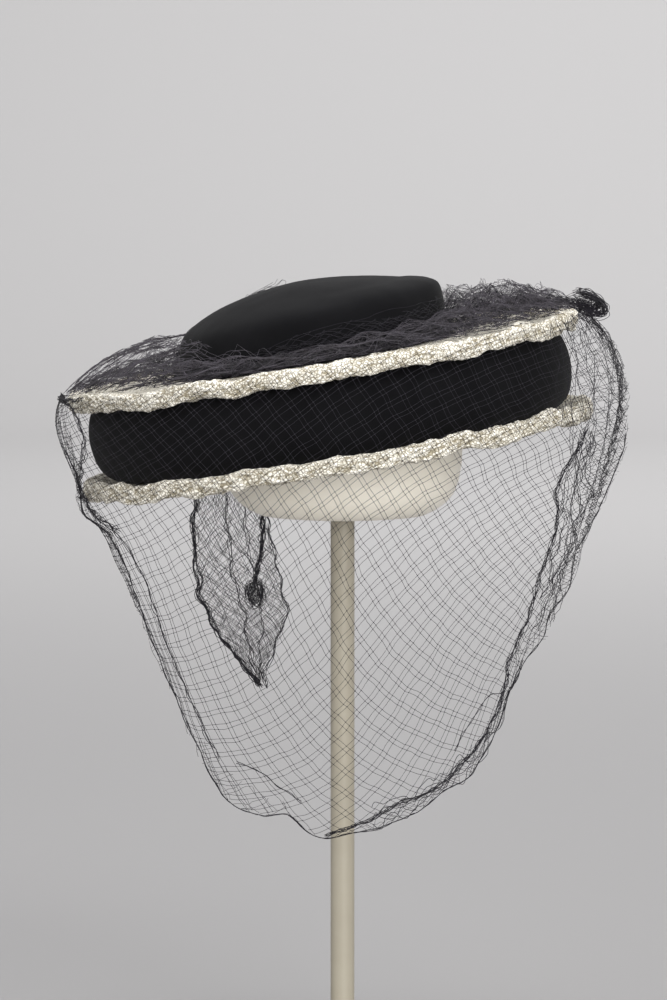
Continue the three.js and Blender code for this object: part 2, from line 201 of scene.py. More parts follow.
# Straw: paper-thin straw leaf, crumpled and folded over the brim's edge, so that its creases catch the light;
# its colour also carries painted shade, darker in the low creases and folds and along the crackle's crack lines
strawLook = {
    "light": "#FDF9EE", "shade": "#ABA28C", "crackShade": "#6F6652", "roughness": 0.72,
    "crackle": 1.8 * mm, "grain": 0.6 * mm, "relief": 0.45 * mm, "grainShare": 0.4,
    "bend": 0.9 * mm, "creaseWidth": 0.26, "crackShadeWidth": 0.07, "crackShadeStrength": 0.75, "toneRange": (0.2, 1.35),
}


def makeStraw():
    material, tree = startMaterial("crinkledCreamStraw")
    place = addNode(tree, "ShaderNodeAttribute", attribute_name="alongStraw").outputs["Vector"]
    # Painted shade: where the crinkle attribute is low, in the creases and pushed-in folds, the straw's colour
    # runs down to the shade tone
    height = addNode(tree, "ShaderNodeAttribute", attribute_name="crinkleShade").outputs["Fac"]
    grain = addNoise(tree, place, strawLook["grain"], 3, 0.6)
    bendScale = 0.8 / strawLook["crackle"]
    bend = addNode(tree, "ShaderNodeTexNoise", {"Vector": place}, Scale=bendScale, Detail=2)
    bent = addNode(
        tree, "ShaderNodeMixRGB", {"Color1": place, "Color2": bend.outputs["Color"]}, blend_type="ADD")
    bent.inputs["Fac"].default_value = strawLook["bend"]
    creases = addNode(
        tree, "ShaderNodeTexVoronoi", {"Vector": bent.outputs["Color"]}, feature="DISTANCE_TO_EDGE",
        Scale=1 / strawLook["crackle"])
    creaseDepth = addRange(tree, creases.outputs["Distance"], 0, strawLook["creaseWidth"])
    relief = addNode(tree, "ShaderNodeMath", {0: grain, 2: creaseDepth}, operation="MULTIPLY_ADD")
    relief.inputs[1].default_value = strawLook["grainShare"]
    # Adding the relief to the tone also paints shade along the crease lines, besides the bump
    tone = addNode(tree, "ShaderNodeMath", {0: height, 1: relief.outputs[0]}, operation="ADD")
    spread = addRange(tree, tone.outputs[0], *strawLook["toneRange"])
    plain = blendColours(tree, spread, strawLook["shade"], strawLook["light"])
    # Painted shade: the crackle's crack lines are darkened towards the crack colour, as shade in the cracks
    crackShadeMask = addRange(tree, creases.outputs["Distance"], 0, strawLook["crackShadeWidth"])
    dark = addNode(tree, "ShaderNodeMix", {6: plain}, data_type="RGBA", blend_type="MULTIPLY")
    dark.inputs[0].default_value = strawLook["crackShadeStrength"]
    dark.inputs[7].default_value = toLinear(strawLook["crackShade"])
    colour = addNode(tree, "ShaderNodeMix", {0: crackShadeMask, 6: dark.outputs[2], 7: plain}, data_type="RGBA")
    bump = addBump(tree, relief.outputs[0], 0.75, strawLook["relief"])
    finishMaterial(
        tree, {"Base Color": colour.outputs[2], "Normal": bump},
        Roughness=strawLook["roughness"], Specular_IOR_Level=0.3, Sheen_Weight=0.05)
    return material


# Net: fine hard-spun thread, knotted and dyed black, whose dye leans to aubergine where light comes through
netLook = {"roughness": 0.66, "patch": 6 * mm}
# The loose tone is the same black thread made far lighter: painted highlight for the lit top of the pile
netTones = {
    "worn": {"name": "knottedBlackNet", "dark": "#0D0B10", "light": "#28252D"},
    "deep": {"name": "shadedBlackNet", "dark": "#0C0A0E", "light": "#2E2A33"},
    "loose": {"name": "looseBlackNetPaintedHighlight", "dark": "#0E0C10", "light": "#66616A"},
}


def makeNetThread(tone):
    material, tree = startMaterial(tone["name"])
    place = addNode(tree, "ShaderNodeTexCoord").outputs["Object"]
    patch = addNoise(tree, place, netLook["patch"], 3)
    colour = blendColours(tree, patch, tone["dark"], tone["light"])
    finishMaterial(
        tree, {"Base Color": colour}, Roughness=netLook["roughness"],
        Sheen_Weight=0.04, Specular_IOR_Level=0.22)
    return material


# Stand paint: brushed-on eggshell enamel over wood and tube, slightly mottled where it has been handled
paintLook = {"roughness": 0.45, "mottle": 34 * mm, "peel": 1.6 * mm, "relief": 0.06 * mm}
# The block's and the tube's tones are lit and shaded copies of one cream enamel: the block's is the cream's own
# colour made a little lighter as painted light, and the post's and foot's is darkened to grey as painted shade
paintTones = {
    "block": {"name": "creamEggshellEnamelPaintedLight", "light": "#FAF5EA", "worn": "#EEE7D6"},
    "tube": {"name": "creamEnamelPaintedShade", "light": "#A59F90", "worn": "#958E7E"},
}


def makePaint(tone):
    material, tree = startMaterial(tone["name"])
    place = addNode(tree, "ShaderNodeTexCoord").outputs["Object"]
    mottle = addNoise(tree, place, paintLook["mottle"], 6, 0.6)
    peel = addNoise(tree, place, paintLook["peel"], 2)
    colour = blendColours(tree, mottle, tone["light"], tone["worn"])
    bump = addBump(tree, peel, 0.25, paintLook["relief"])
    finishMaterial(
        tree, {"Base Color": colour, "Normal": bump},
        Roughness=paintLook["roughness"], Specular_IOR_Level=0.4)
    return material


# Stage: one seamless pale sweep and large soft lights
stageLook = {
    "paper": "#9E9D9D", "halfWidth": 8.0, "front": -8.0, "back": 6.6, "height": 4.0, "curve": 1.8,
    "worldColour": "#F1F0F2", "worldStrength": 0.66, "aim": (0, 0, 0.34),
}
stageLights = [
    {"name": "keySoftbox", "place": (1.3, -2.2, 2.1), "size": 1.5, "watts": 40},
    {"name": "fillSoftbox", "place": (-1.9, -1.9, 1.3), "size": 1.8, "watts": 20},
    {"name": "topSoftbox", "place": (0.0, 0.3, 2.4), "size": 1.6, "watts": 24},
    {"name": "lowFrontSoftbox", "place": (2.4, -8.7, 1.6), "size": 3.2, "watts": 480},
    {"name": "hatWash", "place": (0.0, -0.6, 2.9), "size": 2.2, "watts": 9},
    {"name": "backdropWash", "place": (0.9, 3.4, 3.6), "size": 3.0, "watts": 215, "aim": (0.7, 6.4, 0.8)},
]


def makeStage():
    material, tree = startMaterial("paleSeamlessPaper")
    finishMaterial(tree, {}, Base_Color=toLinear(stageLook["paper"]), Roughness=0.95, Specular_IOR_Level=0.1)
    deselectAll()
    bpy.ops.mesh.primitive_plane_add(size=1)
    sweep = bpy.context.object
    sweep.name = "paperSweep"
    depth = stageLook["back"] - stageLook["front"]
    sweep.scale = (stageLook["halfWidth"] * 2, depth, 1)
    sweep.location = (0, stageLook["front"] + depth / 2, 0)
    placeInMesh(sweep)
    for edge in sweep.data.edges:
        edge.select = all(sweep.data.vertices[v].co.y > stageLook["back"] - mm for v in edge.vertices)
    for polygon in sweep.data.polygons:
        polygon.select = False
    for vertex in sweep.data.vertices:
        vertex.select = vertex.co.y > stageLook["back"] - mm
    bpy.ops.object.mode_set(mode="EDIT")
    bpy.ops.mesh.select_mode(type="EDGE")
    bpy.ops.mesh.extrude_region_move(TRANSFORM_OT_translate={"value": (0, 0, stageLook["height"])})
    bpy.ops.object.mode_set(mode="OBJECT")
    applyModifier(
        sweep, "BEVEL", width=stageLook["curve"], segments=24, limit_method="ANGLE",
        angle_limit=math.radians(30))
    smoothAll(sweep)
    sweep.data.materials.append(material)
    world = bpy.data.worlds.new("softStudio")
    bpy.context.scene.world = world
    world.use_nodes = True
    background = world.node_tree.nodes["Background"]
    background.inputs["Color"].default_value = toLinear(stageLook["worldColour"])
    background.inputs["Strength"].default_value = stageLook["worldStrength"]
    for light in stageLights:
        bpy.ops.object.light_add(type="AREA", location=light["place"])
        lamp = bpy.context.object
        lamp.name = light["name"]
        lamp.data.size = light["size"]
        lamp.data.energy = light["watts"]
        lamp.visible_camera = False
        aim = Vector(light.get("aim", stageLook["aim"])) - lamp.location
        lamp.rotation_euler = aim.to_track_quat("-Z", "Y").to_euler()
    bpy.context.scene.view_settings.view_transform = "Standard"
    bpy.context.scene.view_settings.look = "None"


makeStage()
feltMaterial = makeFelt()
strawMaterial = makeStraw()
netMaterials = {tone: makeNetThread(netTones[tone]) for tone in netTones}
litBlockPaint = makePaint(paintTones["block"])
shadedTubePaint = makePaint(paintTones["tube"])
print("stage and materials made")


# Stand: a turned block on a tube post and a round foot
standSizes = {
    "baseRadius": 90 * mm, "baseHeight": 12 * mm, "postRadius": 6.35 * mm, "headFloor": 295 * mm,
    "headWaist": 340 * mm, "headTop": 419.3 * mm, "headRadius": 64 * mm, "gap": 0.3 * mm, "sides": 96,
    "bevel": 2.5 * mm, "lip": 0.7 * mm, "postSides": 48, "domeSteps": 18, "domeTurn": 88,
}
headProfile = {
    "share": [0.56, 0.69, 0.78, 0.86, 0.92, 0.96, 0.985],
    "rise": [0, 0.9, 3.6, 7.4, 12, 18.5, 27],
}


def turnRings(name, rings, sides):
    # A circle extruded ring by ring, then closed at both ends
    deselectAll()
    first = rings[0]
    bpy.ops.mesh.primitive_circle_add(
        vertices=sides, radius=first[0], location=(0, 0, first[1]), fill_type="NGON")
    piece = bpy.context.object
    piece.name = name
    placeInMesh(piece)
    bpy.ops.object.mode_set(mode="EDIT")
    bpy.ops.mesh.select_all(action="SELECT")
    reach, rise = first
    for nextReach, nextRise in rings[1:]:
        bpy.ops.mesh.extrude_region_move(TRANSFORM_OT_translate={"value": (0, 0, nextRise - rise)})
        scale = nextReach / reach
        bpy.ops.transform.resize(value=(scale, scale, 1), center_override=(0, 0, nextRise))
        reach, rise = nextReach, nextRise
    bpy.ops.mesh.select_all(action="SELECT")
    bpy.ops.mesh.normals_make_consistent(inside=False)
    bpy.ops.object.mode_set(mode="OBJECT")
    bpy.ops.object.shade_smooth_by_angle(angle=math.radians(40))
    return piece


def makeStand():
    s = standSizes
    bevel = s["bevel"]
    lip = s["lip"]
    foot = turnRings("standFoot", [
        (s["baseRadius"] - lip, 0), (s["baseRadius"], lip), (s["baseRadius"], s["baseHeight"] - bevel),
        (s["baseRadius"] - bevel * 0.3, s["baseHeight"] - bevel * 0.3),
        (s["baseRadius"] - bevel, s["baseHeight"]),
    ], s["sides"])
    low = s["baseHeight"] + s["gap"]
    high = s["headFloor"] - s["gap"]
    post = turnRings("standPost", [(s["postRadius"], low), (s["postRadius"], high)], s["postSides"])
    outline = zip(headProfile["share"], headProfile["rise"])
    rings = [(s["headRadius"] * share, s["headFloor"] + rise * mm) for share, rise in outline]
    for step in range(s["domeSteps"] + 1):
        turn = step / s["domeSteps"] * math.radians(s["domeTurn"])
        rise = s["headWaist"] + (s["headTop"] - s["headWaist"]) * math.sin(turn)
        rings.append((s["headRadius"] * math.cos(turn), rise))
    head = turnRings("standBlock", rings, s["sides"])
    parts = (
        (foot, "stand_base", shadedTubePaint), (post, "stand_post", shadedTubePaint), (head, "stand_head", litBlockPaint))
    for piece, node, paint in parts:
        dress(piece, paint, node)


makeStand()
print("stand made")


# Hat: its own frame is the middle of the bottom brim, tilted so that the right side sits higher
hatPlace = {"x": -2.5 * mm, "z": 331 * mm, "tilt": math.radians(9.6)}
hatSizes = {
    "brimRadius": 136 * mm, "brimRoll": 8.8 * mm, "brimPlate": 3 * mm, "topBrimLift": 47.5 * mm,
    "crownOffset": -3.5 * mm, "crownDepthRatio": 1.05,
}


def fromHat(points):
    # From the tilted hat to the whole object
    cos, sin = math.cos(hatPlace["tilt"]), math.sin(hatPlace["tilt"])
    x, y, z = points[..., 0], points[..., 1], points[..., 2]
    return np.stack([x * cos - z * sin + hatPlace["x"], y, x * sin + z * cos + hatPlace["z"]], -1)


def intoHat(points):
    cos, sin = math.cos(hatPlace["tilt"]), math.sin(hatPlace["tilt"])
    x, y, z = points[..., 0] - hatPlace["x"], points[..., 1], points[..., 2] - hatPlace["z"]
    return np.stack([x * cos + z * sin, y, -x * sin + z * cos], -1)


def ovalReach(angle, halfWide, halfDeep):
    # How far out an oval lies whose middle is the crown's
    reach = 1 / np.sqrt((np.cos(angle) / halfWide) ** 2 + (np.sin(angle) / halfDeep) ** 2)
    return reach + hatSizes["crownOffset"] * np.cos(angle)


# Felt pieces: the frame's own solids, rounded and given the soft unevenness of blocked felt
feltShape = {
    "levels": 2, "lump": 34 * mm, "lumpDepth": 1.1 * mm, "dimple": 9 * mm, "dimpleDepth": 0.25 * mm,
    "most": 0.15 * mm, "middle": 40 * mm, "shoulderRise": 80 * mm, "shoulderTall": 4.5 * mm,
    "shoulderWide": 60 * mm, "shoulderFrom": 52 * mm, "shoulderPush": 1.6 * mm,
}


def copyOfNode(node, name):
    makeActive(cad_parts[node])
    bpy.ops.object.duplicate()
    piece = bpy.context.object
    piece.name = name
    piece.parent = None
    for key in [key for key in piece.keys() if key.startswith("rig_")]:
        del piece[key]
    bpy.ops.object.mode_set(mode="EDIT")
    bpy.ops.mesh.select_all(action="SELECT")
    bpy.ops.mesh.remove_doubles(threshold=0.01 * mm)
    bpy.ops.mesh.tris_convert_to_quads(face_threshold=math.radians(50), shape_threshold=math.radians(50))
    bpy.ops.object.mode_set(mode="OBJECT")
    return piece


def makeFeltPiece(node, name):
    piece = copyOfNode(node, name)
    shape = feltShape
    levels = shape["levels"]
    applyModifier(piece, "SUBSURF", levels=levels, render_levels=levels, boundary_smooth="ALL")
    local = intoHat(getPoints(piece))
    # Both faces of the wall move together, so that the felt keeps its thickness
    lump = noiseAt(local, shape["lump"], 2.0) * shape["lumpDepth"]
    dimple = noiseAt(local, shape["dimple"], 5.0) * shape["dimpleDepth"]
    centre = np.array([hatSizes["crownOffset"], 0, shape["middle"]])
    away = local - centre
    away /= np.linalg.norm(away, axis=1)[:, None]
    moved = local + away * np.minimum(lump + dimple, shape["most"])[:, None]
    if node == "crown":
        # The blocked tip keeps a firm shoulder at its right, which smoothing alone would round off
        firm = np.exp(-((local[:, 2] - shape["shoulderRise"]) / shape["shoulderTall"]) ** 2)
        firm = firm * np.clip(local[:, 0] / shape["shoulderWide"], 0, 1)
        outer = np.hypot(local[:, 0], local[:, 1]) > shape["shoulderFrom"]
        moved += (away * firm[:, None] * shape["shoulderPush"]) * outer[:, None]
    setPoints(piece, fromHat(moved))
    smoothAll(piece)
    dress(piece, feltMaterial, node)


makeFeltPiece("crown", "feltCrown")
makeFeltPiece("side_band", "feltBand")
print("felt crown and band made")


# Brims: a ring extruded section by section, then crumpled
brimLook = {
    "around": 960, "wave": 21 * mm, "waveDepth": 1.5 * mm, "fold": 6 * mm, "foldDepth": 0.8 * mm,
    "crease": 2.4 * mm, "creaseDepth": 0.75 * mm, "layer": 3.0 * mm, "layerDepth": 0.5 * mm,
    "rollSteps": 22, "rollDepth": 3.0 * mm, "rollRound": 0.55, "foldWidth": 13 * mm, "drift": 24 * mm,
}
brimPieces = [
    {
        "name": "strawTopBrim", "node": "top_brim", "lift": hatSizes["topBrimLift"], "hole": (67, 70),
        "seed": 3.0,
    },
    {"name": "strawBottomBrim", "node": "bottom_brim", "lift": 0.0, "hole": (80, 84), "seed": 8.0},
]


def brimSection():
    # Distance in from the rim, and height, round the section: the edge is fine, the flat disc coarse
    half = hatSizes["brimRoll"] / 2
    plate = hatSizes["brimPlate"] / 2
    roll = []
    for step in range(brimLook["rollSteps"] + 1):
        turn = -math.pi / 2 + step / brimLook["rollSteps"] * math.pi
        inset = brimLook["rollDepth"] * (1 - abs(math.cos(turn)) ** brimLook["rollRound"])
        roll.append((inset, half * math.sin(turn)))
    neck = [(4.4, 0.98), (6.0, 0.93), (7.6, 0.84), (9.2, 0.7), (11, 0.5)]
    flat = [(13, 1), (16, 1), (20, 1), (26, 1), (34, 1), (44, 1)]
    below = [(inset * mm, -plate) for inset, _ in reversed(flat)]
    below += [(i * mm, -half * s) for i, s in reversed(neck)]
    above = [(i * mm, half * s) for i, s in neck] + [(inset * mm, plate) for inset, _ in flat]
    return below + roll + above


def makeBrim(entry):
    section = brimSection()
    deselectAll()
    bpy.ops.mesh.primitive_circle_add(vertices=brimLook["around"], radius=1)
    piece = bpy.context.object
    piece.name = entry["name"]
    bpy.ops.object.mode_set(mode="EDIT")
    bpy.ops.mesh.select_all(action="SELECT")
    for _ in section[1:]:
        bpy.ops.mesh.extrude_edges_move()
    bpy.ops.object.mode_set(mode="OBJECT")
    # Each extruded loop gets its place: the inner end follows the oval head opening
    count = brimLook["around"]
    rings = len(section)
    angles = np.arange(count) / count * 2 * math.pi
    raw = getPoints(piece)
    first = np.argsort(np.arctan2(raw[:count, 1], raw[:count, 0]) % (2 * math.pi))
    hole = ovalReach(angles, *(value * mm for value in entry["hole"]))
    points = np.empty_like(raw)
    innermost = max(inset for inset, _ in section)
    foldWidth = brimLook["foldWidth"]
    along = np.empty((len(raw), 3))
    for ring, (inset, rise) in enumerate(section):
        share = np.clip((inset - foldWidth) / (innermost - foldWidth), 0, 1)
        reach = (hatSizes["brimRadius"] - inset) * (1 - share) + hole * share
        place = np.stack([reach * np.cos(angles), reach * np.sin(angles), np.full(count, rise)], 1)
        rows = slice(ring * count, (ring + 1) * count)
        points[rows][first] = place
        # The pattern's rows are as far apart as the rings, on the folded edge and on the flat disc
        across = (ring - rings / 2) * 0.7 * mm + math.copysign(max(0, inset - 11 * mm), rise)
        along[rows][first] = np.stack(
            [angles * hatSizes["brimRadius"], np.full(count, across), np.zeros(count)], 1)
    setPoints(piece, points)
    makeActive(piece)
    bpy.ops.object.mode_set(mode="EDIT")
    bpy.ops.mesh.select_all(action="DESELECT")
    bpy.ops.mesh.select_non_manifold()
    bpy.ops.mesh.bridge_edge_loops()
    bpy.ops.mesh.select_all(action="SELECT")
    bpy.ops.mesh.normals_make_consistent(inside=False)
    bpy.ops.object.mode_set(mode="OBJECT")
    crumpleBrim(piece, along, entry)
    placed = fromHat(getPoints(piece) + np.array([0, 0, entry["lift"]]))
    setPoints(piece, placed)
    smoothAll(piece)
    dress(piece, strawMaterial, entry["node"])


def crumpleBrim(piece, along, entry):
    points = getPoints(piece)
    normals = getPoints(piece, "normal")
    reach = np.hypot(points[:, 0], points[:, 1])
    edge = np.clip((reach - (hatSizes["brimRadius"] - 15 * mm)) / (9 * mm), 0.1, 1)
    ring = np.stack([points[:, 0], points[:, 1], points[:, 2] * 0.5], 1)
    stretched = np.stack([along[:, 0] * 0.6, reach * 1.1, points[:, 2] * 1.2], 1)
    fold = noiseAt(stretched, brimLook["fold"], entry["seed"])
    crease = 0.5 - 2.2 * np.abs(noiseAt(stretched, brimLook["crease"], entry["seed"] + 1))
    # The straw is wound in strips, whose edges run along the rim and wander up and down
    drift = noiseAt(np.stack([along[:, 0], reach * 0, reach * 0], 1), brimLook["drift"], entry["seed"] + 3) * 2.5
    strips = np.sin(2 * math.pi * (points[:, 2] / brimLook["layer"] + drift))
    push = fold * brimLook["foldDepth"] * 1.6 + crease * brimLook["creaseDepth"]
    push = (push + strips * brimLook["layerDepth"] * (0.4 + fold)) * edge
    points += normals * push[:, None]
    wave = noiseAt(ring, brimLook["wave"], entry["seed"] + 4) * brimLook["waveDepth"] * 1.6
    points[:, 2] += wave * (0.35 + 0.65 * edge)
    setPoints(piece, points)
    # This tone is painted shade: the material darkens the straw where it is low, in creases, pushed-in folds and
    # between strips
    crinkleShade = piece.data.attributes.new("crinkleShade", "FLOAT", "POINT")
    tone = crease * 0.75 + fold * 0.5 + strips * 0.1
    crinkleShade.data.foreach_set("value", tone.astype(np.float32))
    placeAlong = piece.data.attributes.new("alongStraw", "FLOAT_VECTOR", "POINT")
    placeAlong.data.foreach_set("vector", along.astype(np.float32).ravel())


for brimEntry in brimPieces:
    makeBrim(brimEntry)
print("straw brims made")


# Net: threads are thin three-sided tubes along lines that lie on a surface
netSizes = {
    "thread": 0.11 * mm, "knot": 0.33 * mm, "alongRepeat": 8.3 * mm, "acrossRepeat": 7.2 * mm,
    "pair": 2.3 * mm, "step": 2.3 * mm, "loose": 3.2 * mm, "rope": 0.2 * mm, "tailRope": 0.22 * mm,
}


class ThreadSet:
    # Collects lines and knots, and makes one mesh of them
    def __init__(self):
        self.points = []
        self.faces = []
        self.count = 0
        self.length = 0.0

    def addLine(self, line, radius=netSizes["thread"]):
        if len(line) < 2:
            return
        ahead = np.empty_like(line)
        ahead[1:-1] = line[2:] - line[:-2]
        ahead[0] = line[1] - line[0]
        ahead[-1] = line[-1] - line[-2]
        ahead /= np.linalg.norm(ahead, axis=1)[:, None] + 1e-12
        side = np.cross(ahead, np.array([0.31, 0.87, 0.38]))
        side /= np.linalg.norm(side, axis=1)[:, None] + 1e-12
        up = np.cross(ahead, side)
        corners = []
        for corner in range(3):
            turn = corner * 2 * math.pi / 3
            corners.append(line + radius * (side * math.cos(turn) + up * math.sin(turn)))
        ring = np.stack(corners, 1).reshape(-1, 3)
        steps = np.arange(len(line) - 1)[:, None] * 3 + self.count
        quads = [np.concatenate(
            [steps + k, steps + (k + 1) % 3, steps + 3 + (k + 1) % 3, steps + 3 + k], 1) for k in range(3)]
        self.points.append(ring)
        self.faces.extend(np.concatenate(quads).tolist())
        last = self.count + (len(line) - 1) * 3
        self.faces.append([self.count + 2, self.count + 1, self.count])
        self.faces.append([last, last + 1, last + 2])
        self.count += len(ring)
        self.length += float(np.linalg.norm(np.diff(line, axis=0), axis=1).sum())

    def addKnots(self, centres, radius):
        corners = np.array([[1, 0, 0], [-1, 0, 0], [0, 1, 0], [0, -1, 0], [0, 0, 1], [0, 0, -1]]) * radius
        shape = [[0, 2, 4], [2, 1, 4], [1, 3, 4], [3, 0, 4], [2, 0, 5], [1, 2, 5], [3, 1, 5], [0, 3, 5]]
        for centre in centres:
            self.points.append(centre + corners)
            self.faces.extend([[self.count + v for v in face] for face in shape])
            self.count += 6

    def make(self, name, node, tone="worn"):
        mesh = bpy.data.meshes.new(name)
        mesh.from_pydata(np.concatenate(self.points).tolist(), [], self.faces)
        mesh.update()
        piece = bpy.data.objects.new(name, mesh)
        bpy.context.scene.collection.objects.link(piece)
        smoothAll(piece)
        dress(piece, netMaterials[tone], node)
        triangles = sum(len(face) - 2 for face in self.faces)
        surface = sum(polygon.area for polygon in mesh.polygons)
        length = round(self.length, 1)
        print(name, triangles, "triangles,", length, "m of thread, surface", round(surface, 4), "m2")


def waviness(values, wave, seed):
    # A cheap smooth wander, about -1 to 1, from a few sines of unlike length and direction
    total = np.zeros(values.shape[:-1])
    rng = np.random.default_rng(seed)
    for _ in range(5):
        direction = rng.normal(size=values.shape[-1])
        direction /= np.linalg.norm(direction)
        phase = rng.uniform(0, 2 * math.pi)
        total += np.sin(values @ direction * (2 * math.pi / wave) * rng.uniform(0.6, 1.6) + phase)
    return total / 2.4


def wander(points, wave, depth, seed):
    return points + depth * np.stack([waviness(points, wave, seed + k) for k in range(3)], -1)


def splitLine(line, keep):
    # The stretches of a line that are kept
    edges = np.flatnonzero(np.diff(np.concatenate([[0], keep.astype(int), [0]])))
    return [line[start:end] for start, end in zip(edges[::2], edges[1::2]) if end - start > 1]


def smooth(values, low, high):
    share = np.clip((values - low) / (high - low), 0, 1)
    return share * share * (3 - 2 * share)


def tableAt(table, key, name, at):
    # A smooth curve through two columns of a table
    xs = np.array(table[key], float)
    ys = np.array(table[name], float)
    at = np.clip(at, xs[0], xs[-1])
    slopes = np.gradient(ys, xs)
    k = np.clip(np.searchsorted(xs, at, side="right") - 1, 0, len(xs) - 2)
    width = xs[k + 1] - xs[k]
    t = (at - xs[k]) / width
    return (
        (2 * t ** 3 - 3 * t ** 2 + 1) * ys[k] + (t ** 3 - 2 * t ** 2 + t) * width * slopes[k]
        + (3 * t ** 2 - 2 * t ** 3) * ys[k + 1] + (t ** 3 - t ** 2) * width * slopes[k + 1])


# Veil: it leaves the brim's edge, swells and falls to its hem; angles are from the front, in degrees
hemRows = {
    "angle": [
        -110, -95, -80, -65, -52, -44, -36, -27, -18, -13, -6, 2, 12, 24, 33, 44, 52, 62, 72, 80, 95, 110,
    ],
    "x": [
        -146, -129, -110, -91, -75, -67, -56, -41, -27, -20, -10, 3, 18, 37, 49, 67, 78, 88, 100, 112, 133,
        152,
    ],
    "z": [
        328, 292, 262, 216, 182, 166, 154.5, 150, 150, 143.5, 139.5, 141, 144.5, 151, 159.5, 171, 187, 212,
        231, 250, 296, 336,
    ],
    "depth": [
        30, -6, -36, -63, -81, -89, -97, -103, -108, -110, -111.5, -112, -110, -105, -100, -89, -80, -68,
        -55, -42, -8, 30,
    ],
}
veilSizes = {
    "edgeReach": 139.9 * mm, "edgeRise": 50.8 * mm, "halfTurn": 110,
    "swellFront": 8 * mm, "swellRight": 42 * mm, "swellLeft": 15 * mm,
    "lowerRight": 9 * mm, "lowerLeft": -5 * mm, "unrolled": 132 * mm, "middle": 262 * mm,
}


def outward(turn):
    return np.stack([np.sin(turn), -np.cos(turn), np.zeros(turn.shape)], -1)


def veilPoint(turn, down):
    # turn is the angle from the front, to the right, in radians; down goes from 0 at the brim to 1 at the hem
    signed = np.degrees(turn)
    degrees = np.abs(signed)
    right = turn >= 0
    reach = veilSizes["edgeReach"]
    level = np.full(turn.shape, veilSizes["edgeRise"])
    top = fromHat(np.stack([reach * np.sin(turn), -reach * np.cos(turn), level], -1))
    hem = np.stack([tableAt(hemRows, "angle", name, signed) * mm for name in ("x", "depth", "z")], -1)
    out = outward(turn)
    sideSwell = smooth(degrees, 40, 100)
    widest = np.where(right, veilSizes["swellRight"], veilSizes["swellLeft"])
    swell = veilSizes["swellFront"] * (1 - sideSwell) + widest * sideSwell
    lowerSwell = np.where(right, veilSizes["lowerRight"], veilSizes["lowerLeft"]) * sideSwell
    fall = top[..., 2] - hem[..., 2]
    shoulder = top + out * swell[..., None]
    shoulder[..., 2] -= fall * 0.3
    lower = hem * 0.7 + top * 0.3 + out * lowerSwell[..., None]
    t = np.clip(down, -0.15, 1.25)[..., None]
    s = 1 - t
    point = s ** 3 * top + 3 * s ** 2 * t * shoulder + 3 * s * t ** 2 * lower + t ** 3 * hem
    rightFolds = np.sin(turn * 23 + 2 * np.sin(turn * 9) + down * 5) * 2.0
    folds = np.where(right, rightFolds, np.sin(turn * 9) * 1.8) * mm
    fold = folds * sideSwell * smooth(down, 0.06, 0.35)
    return besideBrims(point + out * fold[..., None])


def besideBrims(points):
    # Net that hangs beside the two brims lies against their edges and not through them
    local = intoHat(points)
    reach = np.hypot(local[..., 0], local[..., 1])
    beside = smooth(local[..., 2], -24 * mm, -9 * mm)
    wanted = reach * (1 - beside) + np.maximum(reach, hatSizes["brimRadius"] + 2.9 * mm) * beside
    local = np.stack([local[..., 0] * wanted / reach, local[..., 1] * wanted / reach, local[..., 2]], -1)
    return fromHat(local)


def onVeil(unrolled, rise):
    # The turn and fall of a place given by its unrolled distance from the front and its height
    angle = unrolled / veilSizes["unrolled"]
    turn = np.clip(angle, -2.2, 2.2)
    down = np.full(turn.shape, 0.5)
    for _ in range(14):
        point = veilPoint(turn, down)
        top = veilPoint(turn, np.zeros(turn.shape))[..., 2]
        hem = tableAt(hemRows, "angle", "z", np.degrees(turn)) * mm
        at = np.arctan2(point[..., 0] - hatPlace["x"], -point[..., 1])
        turn = np.clip(turn + (angle - at) * 0.85, -2.3, 2.3)
        down = np.clip(down + (point[..., 2] - rise) / (top - hem) * 0.9, -0.15, 1.25)
    return turn, down


hemTurns = np.radians(np.linspace(-veilSizes["halfTurn"], veilSizes["halfTurn"], 360))
hemLine = veilPoint(hemTurns, np.ones(hemTurns.shape))


def hemDistance(points):
    flat = points.reshape(-1, 3)
    nearest = np.full(len(flat), 9.0)
    for start in range(0, len(hemLine), 40):
        apart = np.linalg.norm(flat[:, None] - hemLine[None, start:start + 40], axis=2)
        nearest = np.minimum(nearest, apart.min(1))
    return nearest.reshape(points.shape[:-1])


def frontSpots(places):
    # The turn and fall of spots on the veil that are given as they look from the front, in millimetres
    turns, downs = np.meshgrid(np.radians(np.arange(-96, 96.1, 1)), np.linspace(0, 1.02, 120))
    points = veilPoint(turns, downs)
    nearer = photoView["distance"] / (photoView["distance"] + points[..., 1])
    slope = math.tan(math.radians(photoView["pitch"]))
    across = photoView["aimX"] + (points[..., 0] - photoView["aimX"]) * nearer
    height = photoView["aimZ"] + (points[..., 2] - photoView["aimZ"] + slope * points[..., 1]) * nearer
    spots = []
    for x, z in places:
        nearest = np.argmin((across - x * mm) ** 2 + (height - z * mm) ** 2)
        spots.append((turns.flat[nearest], downs.flat[nearest]))
    return np.array(spots)


